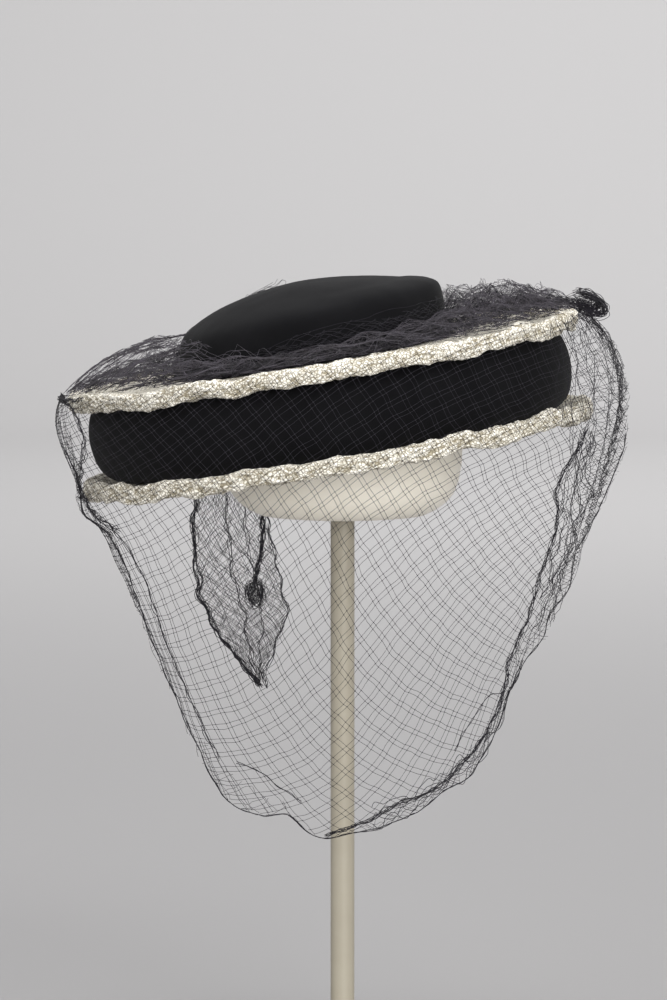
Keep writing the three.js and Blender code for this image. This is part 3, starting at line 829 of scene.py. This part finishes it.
# How the net hangs: the lean of its two families of threads at spots of the veil, in degrees from level
netLeans = {
    "x": [
        -88.8, -88.8, -68.1, -61.8, -48.0, -27.9, -27.9, -27.9, -0.8, -0.8, -0.8, 33.1, 33.1, 33.1, 53.2,
        67.0, 80.3, 60.1, 73.9, 96.7, 20.4, 47.4, 20.4, 58.0, 90.9, 36.8, 69.1, -106.3, -84.6, -68.7, -19.9,
        -116.9, -95.7, -52.2, -19.9, 90.9, 107.3, 115.2, 104.6, 128.0,
    ],
    "z": [
        269.3, 249.1, 215.2, 181.3, 154.3, 195.1, 229.0, 276.2, 262.4, 208.3, 161.2, 276.2, 222.1, 181.3,
        161.2, 215.2, 188.2, 242.3, 269.3, 258.2, 359.9, 365.2, 338.2, 311.2, 322.3, 300.6, 278.8, 344.0,
        327.6, 335.0, 338.2, 295.3, 284.1, 300.6, 295.3, 375.3, 382.7, 356.2, 335.0, 330.0,
    ],
    "rising": [
        12, 6, 15, 21, 28, 32, 38, 42, 45, 43, 38, 43, 52, 60, 68, 78, 78, 60, 36, 28, 28, 30, 28, 25, 23,
        33, 34, 40, 38, 34, 26, 25, 38, 42, 45, 28, 32, 30, 27, 30,
    ],
    "falling": [
        76, 80, 72, 66, 58, 57, 55, 52, 52, 48, 42, 54, 46, 32, 20, 10, 5, 38, 62, 66, 62, 62, 62, 62, 60,
        58, 63, 40, 46, 52, 62, 60, 58, 48, 50, 60, 60, 62, 62, 64,
    ],
}
netFit = {
    "bend": 160 * mm, "tall": 130 * mm, "stiffness": 0.5, "rising": 46, "falling": 50, "reach": 420 * mm,
}


def netTerms(across, height):
    # The smooth functions that the net's pattern is a sum of, and their slopes; sideways they level off
    u = np.tanh(across / netFit["bend"])
    du = (1 - u * u) / netFit["bend"]
    v = np.tanh(height / netFit["tall"])
    dv = (1 - v * v) / netFit["tall"]
    terms = [across / netFit["bend"], height / netFit["tall"]]
    acrossSlopes = [np.full(across.shape, 1 / netFit["bend"]), np.zeros(across.shape)]
    heightSlopes = [np.zeros(across.shape), np.full(across.shape, 1 / netFit["tall"])]
    for i in range(5):
        for j in range(5 - i):
            if i + j > 0:
                terms.append(u ** i * v ** j)
                acrossSlopes.append((i * u ** (i - 1) if i else 0 * u) * v ** j * du)
                heightSlopes.append(u ** i * (j * v ** (j - 1) if j else 0 * v) * dv)
    return np.stack(terms, -1), np.stack(acrossSlopes, -1), np.stack(heightSlopes, -1)


def fitNet():
    # Solves for patterns that count the repeats: each stays even along its own threads
    spots = frontSpots(zip(netLeans["x"], netLeans["z"]))
    slope = math.tan(math.radians(photoView["pitch"]))
    small = 1e-3
    rows = {"rising": [], "falling": []}
    wanted = {"rising": [], "falling": []}
    for number, (turn, down) in enumerate(spots):
        turns = np.array([turn, turn + small, turn])
        downs = np.array([down, down, down + small])
        points = veilPoint(turns, downs)
        unrolled = np.arctan2(points[:, 0] - hatPlace["x"], -points[:, 1]) * veilSizes["unrolled"]
        place = np.stack([unrolled, points[:, 2] - veilSizes["middle"]], 1)
        byTurn, byDown = (points[1] - points[0]) / small, (points[2] - points[0]) / small
        seen = np.array([
            [byTurn[0], byDown[0]], [byTurn[2] + slope * byTurn[1], byDown[2] + slope * byDown[1]],
        ])
        flat = np.stack([(place[1] - place[0]) / small, (place[2] - place[0]) / small], 1)
        lines = {}
        for family, sign, repeat in (("rising", 1, "alongRepeat"), ("falling", -1, "acrossRepeat")):
            lean = math.radians(netLeans[family][number])
            spread = np.linalg.solve(seen, np.array([math.cos(lean), sign * math.sin(lean)]))
            length = np.linalg.norm(byTurn * spread[0] + byDown * spread[1])
            lines[family] = flat @ spread / length * netSizes[repeat]
        _, acrossSlopes, heightSlopes = netTerms(place[:1, 0], place[:1, 1])
        for family, other in (("rising", "falling"), ("falling", "rising")):
            for line, change in ((lines[family], 0.0), (lines[other], 1.0)):
                rows[family].append(acrossSlopes[0] * line[0] + heightSlopes[0] * line[1])
                wanted[family].append(change)
    fits = {}
    for family in rows:
        matrix = np.array(rows[family])
        size = matrix.shape[1]
        damp = np.diag([0.001, 0.001] + [netFit["stiffness"] * 0.01] * (size - 2))
        full = np.concatenate([matrix, damp])
        fits[family] = np.linalg.lstsq(full, np.array(wanted[family] + [0.0] * size), rcond=None)[0]
    return fits


netPattern = fitNet()


def threadLevels(family, shift):
    # The pattern's values at which one family's paired threads run
    repeat = netSizes["acrossRepeat"] if family == "rising" else netSizes["alongRepeat"]
    count = int(netFit["reach"] / repeat)
    half = netSizes["pair"] / repeat / 2
    whole = np.arange(-count, count) + shift
    return np.sort(np.concatenate([whole - half, whole + half])), repeat


def patternMiddle(family):
    return netTerms(np.zeros(1), np.zeros(1))[0][0] @ netPattern[family]


def netLines(family, shift, flip):
    # Lines along which one family's threads run, in unrolled distance and height
    lean = math.radians(netFit[family])
    sign = 1 if family == "rising" else -1
    ahead = (math.cos(lean), sign * math.sin(lean))
    aside = (math.sin(lean), -sign * math.cos(lean))
    levels, repeat = threadLevels(family, shift)
    along = np.arange(-netFit["reach"], netFit["reach"], netSizes["step"])
    pattern = netPattern[family]
    middle = patternMiddle(family)
    line, level = np.meshgrid(along, levels)
    offset = level * repeat
    for _ in range(14):
        x = ahead[0] * line + aside[0] * offset
        z = ahead[1] * line + aside[1] * offset
        terms, acrossSlopes, heightSlopes = netTerms(x, z)
        value = terms @ pattern - middle
        slope = (acrossSlopes @ pattern) * aside[0] + (heightSlopes @ pattern) * aside[1]
        slope = np.maximum(slope, 0.35 / repeat)
        offset = offset - np.clip((value - level) / slope, -0.03, 0.03)
    settled = np.abs(value - level) < 0.04
    return (-x if flip else x), z, settled


def netCrossings(shift):
    # Where the threads of the two families meet
    rising, _ = threadLevels("rising", shift)
    falling, _ = threadLevels("falling", shift)
    wantRising, wantFalling = np.meshgrid(rising, falling)
    x = 5.5 * mm * (wantRising + wantFalling)
    z = 5.5 * mm * (wantFalling - wantRising)
    for _ in range(16):
        terms, acrossSlopes, heightSlopes = netTerms(x, z)
        first = terms @ netPattern["rising"] - patternMiddle("rising") - wantRising
        second = terms @ netPattern["falling"] - patternMiddle("falling") - wantFalling
        ax, az = acrossSlopes @ netPattern["rising"], heightSlopes @ netPattern["rising"]
        bx, bz = acrossSlopes @ netPattern["falling"], heightSlopes @ netPattern["falling"]
        turned = ax * bz - az * bx
        turned = np.where(np.abs(turned) < 2000, 2000, turned)
        x = x - np.clip((first * bz - second * az) / turned, -0.04, 0.04)
        z = z - np.clip((second * ax - first * bx) / turned, -0.04, 0.04)
    settled = (np.abs(first) < 0.03) & (np.abs(second) < 0.03)
    return x, z, settled


def laidOut(x, z, settled, keepAt, shape, wobble, seed):
    # Puts spots of the pattern on the veil, with the small unevenness of real net
    place = np.stack([x, z], -1)
    x = x + wobble * waviness(place, 19 * mm, seed) + 0.35 * wobble * waviness(place, 8 * mm, seed + 3)
    z = z + wobble * waviness(place, 17 * mm, seed + 9) + 0.35 * wobble * waviness(place, 7 * mm, seed + 5)
    z = z + veilSizes["middle"]
    near = settled & (np.abs(x) < 0.3) & (z > 0.125) & (z < 0.42)
    turn = np.zeros(x.shape)
    down = np.full(x.shape, 9.0)
    turn[near], down[near] = onVeil(x[near], z[near])
    keep = near & keepAt(turn, down)
    points = np.zeros(x.shape + (3,))
    points[keep] = shape(turn[keep], down[keep])
    return points, keep


def addVeilNet(threads, keepAt, shape, wobble, seed, shift=0.0, flip=False, knots=False):
    # Both families of threads over the part of the veil where keepAt(turn, down) holds
    for family in ("rising", "falling"):
        x, z, settled = netLines(family, shift, flip)
        points, keep = laidOut(x, z, settled, keepAt, shape, wobble, seed)
        for line, kept in zip(points, keep):
            for stretch in splitLine(line, kept):
                threads.addLine(stretch)
    if knots:
        points, keep = laidOut(*netCrossings(shift), keepAt, shape, wobble, seed)
        threads.addKnots(points[keep], netSizes["knot"])


def addRope(threads, path, strands, spread, radius, seed, wave=14 * mm):
    # Several threads that wander along one path
    for strand in range(strands):
        moved = wander(path, wave, spread, seed + strand * 7)
        threads.addLine(wander(moved, wave * 0.3, spread * 0.25, seed + strand * 7 + 3), radius)


def evenPath(places, step):
    # Points a step apart along a smooth line through the given places
    places = np.asarray(places, float)
    gaps = np.linalg.norm(np.diff(places, axis=0), axis=1)
    at = np.concatenate([[0], np.cumsum(gaps)])
    wanted = np.linspace(0, at[-1], max(3, int(at[-1] / step)))
    return np.stack([tableAt({"at": at, "place": column}, "at", "place", wanted) for column in places.T], 1)


def veilPath(places):
    # A smooth line on the veil through spots given as they look from the front
    spots = frontSpots(places)
    scaled = spots * np.array([veilSizes["unrolled"], 0.2])
    path = evenPath(scaled, netSizes["step"]) / np.array([veilSizes["unrolled"], 0.2])
    return veilPoint(path[:, 0], path[:, 1])


def mainShape(turn, down):
    return wander(veilPoint(turn, down), 26 * mm, 0.4 * mm, 40)


def withinVeil(turn, down):
    return (down >= 0) & (down <= 1) & (np.abs(np.degrees(turn)) <= veilSizes["halfTurn"])


# The veil's edge is folded back in a strip: how wide, at angles from the front
turnBackRows = {
    "angle": [-110, -90, -60, -48, -40, -27, -14, 0, 12, 30, 55, 80, 110],
    "width": [9, 13, 12, 8, 15, 13, 2, 2, 7, 10, 14, 16, 16],
}
leftSelvage = [
    (-138.5, 305.9), (-128.0, 292.0), (-117.0, 281.0), (-106.0, 262.4), (-97.5, 238.0), (-88.5, 214.0),
    (-79.0, 193.0), (-71.5, 176.0), (-65.0, 165.0),
]
rightSelvage = [
    (128.5, 340.3), (123.2, 327.0), (115.2, 313.8), (113.6, 288.4), (107.8, 270.0), (103.6, 258.7),
    (99.3, 242.3), (92.4, 227.4), (88.2, 215.2), (86.6, 205.7), (83.9, 196.1), (73.3, 174.9),
    (64.9, 163.8), (51.6, 150.5),
    (39.4, 143.7), (27.2, 139.5), (12.4, 131.8), (-1.0, 125.5), (-9.0, 123.5),
]
rightGathers = [
    [(131.0, 336.0), (123.2, 313.8), (121.3, 301.0), (123.2, 288.0), (118.1, 272.7),
     (113.6, 262.4), (111.0, 254.7)],
    [(134.0, 338.0), (129.6, 313.8), (131.0, 302.2), (125.1, 289.4), (122.6, 277.9),
     (115.5, 257.3), (110.4, 239.3)],
    [(127.0, 338.0), (119.4, 313.8), (116.8, 302.2), (118.1, 289.4), (113.0, 275.3),
     (110.4, 265.0), (105.2, 252.3)],
    [(129.0, 330.0), (125.5, 316.0), (126.0, 298.0), (121.0, 284.0), (116.0, 268.0),
     (108.0, 250.0), (103.0, 236.0)],
]
foldRidges = [
    [(-57.0, 162.7), (-43.8, 157.4), (-33.2, 149.5), (-22.6, 141.5)],
    [(85.6, 202.0), (75.0, 194.6), (67.6, 182.9), (60.0, 170.0)],
]
leftCord = [
    (-138.6, 371.0), (-146.6, 366.2), (-147.6, 355.7), (-139.0, 346.1), (-137.0, 332.9), (-139.7, 313.3),
    (-138.6, 305.9), (-128.0, 293.1), (-118.0, 287.0),
]


def turnBackShape(turn, down):
    return wander(veilPoint(turn, down) + outward(turn) * 0.9 * mm, 13 * mm, 1.0 * mm, 71)


def inTurnBack(turn, down):
    keep = withinVeil(turn, down)
    found = np.flatnonzero(keep)
    points = veilPoint(turn.flat[found], down.flat[found])
    width = tableAt(turnBackRows, "angle", "width", np.degrees(turn.flat[found])) * mm
    kept = np.zeros(turn.shape, bool)
    kept.flat[found] = hemDistance(points) < width
    return kept


def bulgeShape(turn, down):
    return wander(veilPoint(turn, down) + outward(turn) * 0.8 * mm, 16 * mm, 1.3 * mm, 83)


def inBulge(turn, down):
    degrees = np.degrees(turn)
    low = 0.75 - 0.35 * smooth(-degrees, -92, -58)
    return withinVeil(turn, down) & (degrees > 62 + 20 * down) & (down < low)


def makeVeil():
    threads = ThreadSet()
    addVeilNet(threads, withinVeil, mainShape, 0.28 * mm, 11, knots=True)
    threads.make("netVeil", "veil")
    edges = ThreadSet()
    addVeilNet(edges, inTurnBack, turnBackShape, 0.8 * mm, 23, shift=0.37, flip=True)
    addVeilNet(edges, inBulge, bulgeShape, 1.4 * mm, 31, shift=0.61, flip=True)
    addRope(edges, mainShape(hemTurns, np.ones(hemTurns.shape)), 2, 0.4 * mm, 0.24 * mm, 61)
    right = (hemTurns > math.radians(10)) & (hemTurns < math.radians(64))
    for strand, inward in enumerate((0.012, 0.026, 0.04, 0.055)):
        falls = 1 - inward + 0.012 * waviness(hemTurns[right, None] * 0.13, 21 * mm, 90 + strand)
        addRope(edges, turnBackShape(hemTurns[right], falls), 1, 0.7 * mm, 0.19 * mm, 95 + strand)
    ropes = ((rightSelvage, 7, 0.95 * mm), (leftSelvage, 3, 0.7 * mm), (leftCord, 6, 1.3 * mm))
    for places, strands, spread in ropes:
        addRope(edges, veilPath(places), strands, spread, netSizes["rope"], 101 + strands)
    for number, places in enumerate(rightGathers):
        addRope(edges, veilPath(places), 4, 1.6 * mm, 0.17 * mm, 171 + number * 7, wave=17 * mm)
    for number, places in enumerate(foldRidges):
        addRope(edges, veilPath(places), 2, 0.5 * mm, netSizes["rope"], 131 + number * 5)
    # Gathered threads that run down from the bunch, over the swollen side
    for strand in range(7):
        start = math.radians(58 + 2.4 * strand)
        falls = np.linspace(0, 0.28 + 0.16 * abs(math.sin(strand * 2.3)), 50)
        turns = start + np.radians(5) * np.sin(falls * 4 + strand) * falls
        addRope(edges, bulgeShape(turns, falls), 1, 0.9 * mm, 0.16 * mm, 151 + strand, wave=19 * mm)
    edges.make("netVeilEdges", "veil")


makeVeil()
print("veil made")


# Pile: one length of the net crumpled in layers on the upper brim, deepest at the sides
pileRows = {
    "angle": [0, 45, 90, 125, 150, 180, 225, 270, 315, 340, 360],
    "crest": [17, 15, 12, 13, 11, 8, 9, 8.5, 11, 14, 17],
    "lap": [66, 68, 68, 91, 80, 60, 56, 66, 70, 70, 66],
}
pileSizes = {
    "innerWide": 76 * mm, "innerDeep": 80 * mm, "outer": 138.6 * mm, "foot": 50.6 * mm, "rim": 52.4 * mm,
    "crumple": 15 * mm, "crumpleDepth": 5.2 * mm, "fine": 6.5 * mm, "fineDepth": 1.9 * mm,
    "domeRise": 22 * mm, "repeats": (7.6 * mm, 8.8 * mm),
}


def pileReach(angle, out):
    inner = ovalReach(angle, pileSizes["innerWide"], pileSizes["innerDeep"])
    return inner + (pileSizes["outer"] - inner) * out


def pileShape(u, v, share, dome, seed):
    angle = np.arctan2(v, u) % (2 * math.pi)
    reach = np.hypot(u, v)
    inner = pileReach(angle, 0.0)
    out = np.clip((reach - inner) / (pileSizes["outer"] - inner), 0, 1)
    crest = tableAt(pileRows, "angle", "crest", np.degrees(angle)) * mm
    hump = np.sin(np.pi * np.minimum(1, 0.16 + 0.84 * out)) ** 0.8
    level = pileSizes["foot"] + (pileSizes["rim"] - pileSizes["foot"]) * out ** 2
    place = np.stack([u, v, np.full(u.shape, share * 40 * mm)], -1)
    rough = waviness(place, pileSizes["crumple"], seed)
    rise = level + crest * hump * (share + 0.3 * rough * share ** 0.5)
    if dome:
        leftward = smooth(-np.cos(angle), 0.35, 0.85)
        lifted = level + dome * leftward * (1 - out ** 2.4) * (0.95 + 0.06 * rough)
        rise = np.maximum(lifted, level + crest * hump * 0.5)
    rise = np.maximum(rise, level)
    return np.stack([u, v, rise], -1)


def addPileLayer(threads, share, lean, seed, dome=0.0, keepAt=None):
    # Both families run straight in the sheet; then the sheet is crumpled sideways and lifted
    radius = pileSizes["outer"]
    for turned, repeat in zip((lean, lean + 82), pileSizes["repeats"]):
        ahead = np.array([math.cos(math.radians(turned)), math.sin(math.radians(turned))])
        aside = np.array([-ahead[1], ahead[0]])
        along = np.arange(-radius * 1.1, radius * 1.1, netSizes["loose"])
        places = np.arange(-radius * 1.1, radius * 1.1, repeat)
        places = np.sort(np.concatenate([places, places + netSizes["pair"]]))
        line, place = np.meshgrid(along, places)
        flat = line[..., None] * ahead + place[..., None] * aside
        moved = flat + pileSizes["crumpleDepth"] * np.stack(
            [waviness(flat, pileSizes["crumple"], seed + k) for k in range(2)], -1)
        moved = moved + pileSizes["fineDepth"] * np.stack(
            [waviness(flat, pileSizes["fine"], seed + 5 + k) for k in range(2)], -1)
        u, v = moved[..., 0], moved[..., 1]
        angle = np.arctan2(v, u) % (2 * math.pi)
        reach = np.hypot(u, v)
        ragged = radius - 3.2 * mm * (1 + waviness(flat, 13 * mm, seed + 21))
        keep = (reach > pileReach(angle, 0.0)) & (reach < ragged)
        if keepAt:
            keep &= keepAt(np.degrees(angle))
        points = fromHat(pileShape(u, v, share, dome, seed + 11))
        for row, kept in zip(points, keep):
            for stretch in splitLine(row, kept):
                threads.addLine(stretch)


def crownReachAt(rise):
    # The crown's wall leans in as it rises, more at its left
    rises = np.array([49.3, 60, 69, 74, 78, 81.6, 86.8, 89.7]) * mm
    left = np.array([72.5, 72.1, 69.5, 65, 58, 51, 34, 16]) * mm
    right = np.array([71.6, 72, 72.3, 71.8, 69, 59, 38, 17]) * mm
    return np.interp(rise, rises, left), np.interp(rise, rises, right)


def lapPoint(angle, rise, apart):
    left, right = crownReachAt(rise)
    share = (1 - np.cos(angle)) / 2
    reach = right * (1 - share) + left * share + apart
    u = reach * np.cos(angle) + hatSizes["crownOffset"]
    return np.stack([u, reach * np.sin(angle) * hatSizes["crownDepthRatio"], rise], -1)


lapSizes = {"layers": 3, "every": 5.6, "sweep": 0.62, "points": 34, "tuft": 5 * mm}


def addLap(threads, seed):
    # Net that leans against the crown's wall, in a front lap and a tuft behind the left shoulder
    around = np.linspace(0, 2 * math.pi, 300)
    share = np.linspace(0, 1, lapSizes["points"])
    for layer in range(lapSizes["layers"]):
        apart = (1.1 + 0.9 * layer) * mm
        for sign in (1, -1):
            for start in np.arange(0, 360, lapSizes["every"]):
                angle = math.radians(start) + sign * np.linspace(0, lapSizes["sweep"], lapSizes["points"])
                degrees = np.degrees(angle) % 360
                top = tableAt(pileRows, "angle", "lap", degrees) * mm
                part = 0.78 + 0.24 * math.sin(start * 0.11 + 2.1 * layer) * math.sin(start * 0.043 + 1)
                rise = pileSizes["foot"] + (top - pileSizes["foot"]) * share * part
                tuft = smooth(degrees, 100, 122) * (1 - smooth(degrees, 128, 152))
                point = lapPoint(angle, rise, apart + tuft * lapSizes["tuft"] * share)
                moved = wander(point, 11 * mm, 1.0 * mm, seed + layer) + np.array([0, 0, 0.4 * mm])
                away = lapPoint(angle, rise, apart)
                reachNow = np.hypot(moved[:, 0], moved[:, 1])
                reachMin = np.hypot(away[:, 0], away[:, 1]) - 0.5 * mm
                scale = np.maximum(1, reachMin / reachNow)
                moved[:, 0] *= scale
                moved[:, 1] *= scale
                threads.addLine(fromHat(moved))
    top = tableAt(pileRows, "angle", "lap", np.degrees(around)) * mm
    threads.addLine(fromHat(wander(lapPoint(around, top, 2.4 * mm), 14 * mm, 0.8 * mm, seed + 30)))


def addWisps(threads, count, angles, reaches, seed):
    # Loose bights that stand a little above the pile
    rng = np.random.default_rng(seed)
    for _ in range(count):
        angle = math.radians(rng.uniform(*angles))
        reach = rng.uniform(*reaches) * mm
        size = rng.uniform(4, 10) * mm
        wide = rng.uniform(1.0, 2.2) * size
        lean = rng.uniform(0, math.pi)
        turn = np.linspace(-0.5, math.pi + 0.5, 18)
        u = reach * math.cos(angle) + wide * np.cos(turn) * math.cos(lean)
        v = reach * math.sin(angle) + wide * np.cos(turn) * math.sin(lean)
        base = pileShape(u, v, 1.0, 0.0, seed)
        base[:, 2] += (size * 0.42) * np.sin(turn) - 0.8 * mm
        threads.addLine(fromHat(wander(base, 9 * mm, 0.5 * mm, seed)))


def makePile():
    # The left side is thin, so that the straw and the light come through
    # The top layer, with the dome, the right side and the wisps, takes the lighter loose tone as painted
    # highlight on the pile's lit top
    layers = ((0.4, 12, notLeft, "deep"), (0.75, 103, None, "worn"), (1.0, 151, None, "loose"))
    for number, (share, lean, keepAt, tone) in enumerate(layers):
        threads = ThreadSet()
        addPileLayer(threads, share, lean, 200 + int(share * 100), keepAt=keepAt)
        if number == 1:
            addLap(threads, 280)
        if number == 2:
            addPileLayer(threads, 0.9, 24, 260, dome=pileSizes["domeRise"], keepAt=onLeft)
            addPileLayer(threads, 0.6, 88, 270, keepAt=onRight)
            addWisps(threads, 46, (-60, 75), (86, 128), 290)
            addWisps(threads, 22, (95, 260), (88, 126), 291)
        threads.make("netPile" + str(number + 1), "veil_gathers", tone=tone)


def onLeft(degrees):
    return (degrees > 118) & (degrees < 242)


def notLeft(degrees):
    return (degrees < 140) | (degrees > 215)


def onRight(degrees):
    return (degrees < 70) | (degrees > 290)


makePile()
print("pile made")


# Bunch: the ends of the net are turned into a small bunch of loops beyond the brim's right side
bunchSizes = {
    "middle": (145 * mm, 2 * mm, 52.4 * mm), "tilt": math.radians(-34), "loops": 46, "curls": 18,
    "leads": 40, "thread": 0.18 * mm,
}


def makeBunch():
    threads = ThreadSet()
    rng = np.random.default_rng(310)
    middle = np.array(bunchSizes["middle"])
    ahead = np.array([math.cos(bunchSizes["tilt"]), 0.1, math.sin(bunchSizes["tilt"])])
    aside = np.array([-math.sin(bunchSizes["tilt"]), 0.15, math.cos(bunchSizes["tilt"])])
    for loop in range(bunchSizes["loops"]):
        # Long loops lie side by side and come round at the bunch's outer end
        wide = rng.uniform(4.5, 11.5) * mm
        tall = wide * rng.uniform(0.34, 0.6)
        centre = middle + np.array([0, rng.uniform(-7, 7) * mm, 0])
        centre = centre + rng.normal(size=3) * 1.0 * mm - ahead * 2 * mm
        turn = np.linspace(-2.5, 2.5, 26)[:, None] * rng.uniform(0.8, 1.1)
        ring = centre + ahead * wide * np.cos(turn) + aside * tall * np.sin(turn)
        threads.addLine(fromHat(wander(ring, 9 * mm, 0.45 * mm, 311 + loop)), bunchSizes["thread"])
    for curl in range(bunchSizes["curls"]):
        size = rng.uniform(2.0, 5.0) * mm
        centre = middle + ahead * rng.uniform(-4, 6) * mm + aside * rng.uniform(-3, 2) * mm
        centre[1] += rng.uniform(-6, 6) * mm
        turn = np.linspace(0, 5.6, 22)[:, None] + rng.uniform(0, 6)
        first = ahead * rng.uniform(0.7, 1.2) + np.array([0, rng.uniform(-0.5, 0.5), 0])
        ring = centre + size * (np.cos(turn) * first + np.sin(turn) * aside * 0.8)
        threads.addLine(fromHat(wander(ring, 7 * mm, 0.4 * mm, 360 + curl)), bunchSizes["thread"])
    # Strands lead from the pile over the brim's edge into the bunch
    for strand in range(bunchSizes["leads"]):
        start = middle + np.array(
            [-rng.uniform(12, 40) * mm, rng.uniform(-24, 24) * mm, rng.uniform(0, 7) * mm])
        end = middle + rng.normal(size=3) * 2.5 * mm
        share = np.linspace(0, 1, 16)[:, None]
        path = start * (1 - share) + end * share + np.array([0, 0, 1]) * np.sin(share * math.pi) * 2 * mm
        threads.addLine(fromHat(wander(path, 10 * mm, 0.9 * mm, 380 + strand)))
    threads.make("netBunch", "veil_knot")


makeBunch()
print("bunch made")


# Tail: a gathered end of the net hangs behind the block as a leaf, with a twisted, curled end beside it
tailRows = {
    "at": [0, 1, 2, 3, 4, 5, 6],
    "left": [-81, -83, -81, -76, -66, -55, -46],
    "right": [-44, -40, -35, -31, -36, -42, -43],
    "rise": [300, 274, 252, 233, 216, 202, 190],
    "depth": [116, 114, 113, 112, 112, 112, 112],
}
tailSizes = {"length": 113.0, "pair": 2.2, "seatReach": 132, "tieStrands": 15, "curlLoops": 34}
tieRoute = [
    (-44.8, 125.8, 319.2), (-45.8, 122.8, 305.2), (-44, 104, 284), (-45, 103, 264), (-48, 105, 250),
]


def tailPoint(across, down, lift, seed):
    at = down * 6
    left = tableAt(tailRows, "at", "left", at)
    right = tableAt(tailRows, "at", "right", at)
    x = left + (right - left) * across
    z = tableAt(tailRows, "at", "rise", at)
    fold = 5 * np.sin(2.5 * math.pi * across + 0.4) * np.clip(1 - down, 0.1, 1)
    y = tableAt(tailRows, "at", "depth", at) + fold
    point = np.stack([x, y + lift, z], -1) * mm
    return wander(point, 15 * mm, 0.9 * mm, seed)


def addTailLayer(threads, spacing, lean, lift, seed):
    # Threads cross the leaf on two slants; they crowd where it narrows
    length = tailSizes["length"]
    for sign in (1, -1):
        for start in np.arange(-60, length + 60, spacing):
            for pair in (0, tailSizes["pair"]):
                across = np.linspace(0, 1, 24)
                down = (start + pair + sign * lean * (across - 0.5)) / length
                keep = (down >= 0) & (down <= 0.86 + 0.12 * math.sin(start * 1.7))
                for stretch in splitLine(np.stack([across, down], 1), keep):
                    threads.addLine(tailPoint(stretch[:, 0], stretch[:, 1], lift, seed))


def makeTail():
    threads = ThreadSet()
    for layer in range(3):
        addTailLayer(threads, 7.8 + 1.1 * layer, 60 - 12 * layer, (layer - 1) * 1.8, 400 + layer * 3)
    down = np.linspace(0, 1, 60)
    ropes = ((0.0, 6, 0.8), (0.03, 4, 1.0), (1.0, 4, 0.9), (0.46, 3, 1.1), (0.7, 2, 0.9))
    for across, strands, spread in ropes:
        path = tailPoint(np.full(down.shape, across), down, 0, 420)
        addRope(threads, path, strands, spread * mm, netSizes["tailRope"], 430 + int(across * 50))
    reach = tailSizes["seatReach"]
    seat = fromHat(np.array(
        [[u * mm, math.sqrt(reach ** 2 - u * u) * mm, -5.4 * mm] for u in (-76, -66, -55, -44)]))
    for k, place in enumerate(seat):
        for strand in range(5):
            share = (k + strand / 5) / 4
            foot = tailPoint(np.array([share]), np.array([0.06]), 0, 440)[0]
            threads.addLine(np.stack([place, (place + foot) / 2 + np.array([0, 2 * mm, 0]), foot]))
    threads.make("netTail", "veil_tail")
    curl = ThreadSet()
    path = evenPath(np.array(tieRoute) * mm, 1.6 * mm)
    addRope(curl, path, tailSizes["tieStrands"], 1.2 * mm, netSizes["tailRope"], 450, wave=10 * mm)
    rng = np.random.default_rng(460)
    for loop in range(tailSizes["curlLoops"]):
        turn = np.linspace(0, 2 * math.pi * rng.uniform(0.6, 1.1), 20) + rng.uniform(0, 6)
        wide, tall = rng.uniform(1.5, 4.6) * mm, rng.uniform(2.5, 7.5) * mm
        x = -48 * mm + rng.normal() * 1.2 * mm + wide * np.cos(turn)
        z = 243 * mm + rng.normal() * 1.6 * mm + tall * np.sin(turn)
        y = 105 * mm + rng.normal() * 1.0 * mm + 1.5 * mm * np.sin(turn * 2 + loop)
        curl.addLine(wander(np.stack([x, y, z], 1), 6 * mm, 0.4 * mm, 470 + loop), 0.19 * mm)
    curl.make("netTie", "veil_tie")


makeTail()
print("tail and tie made")
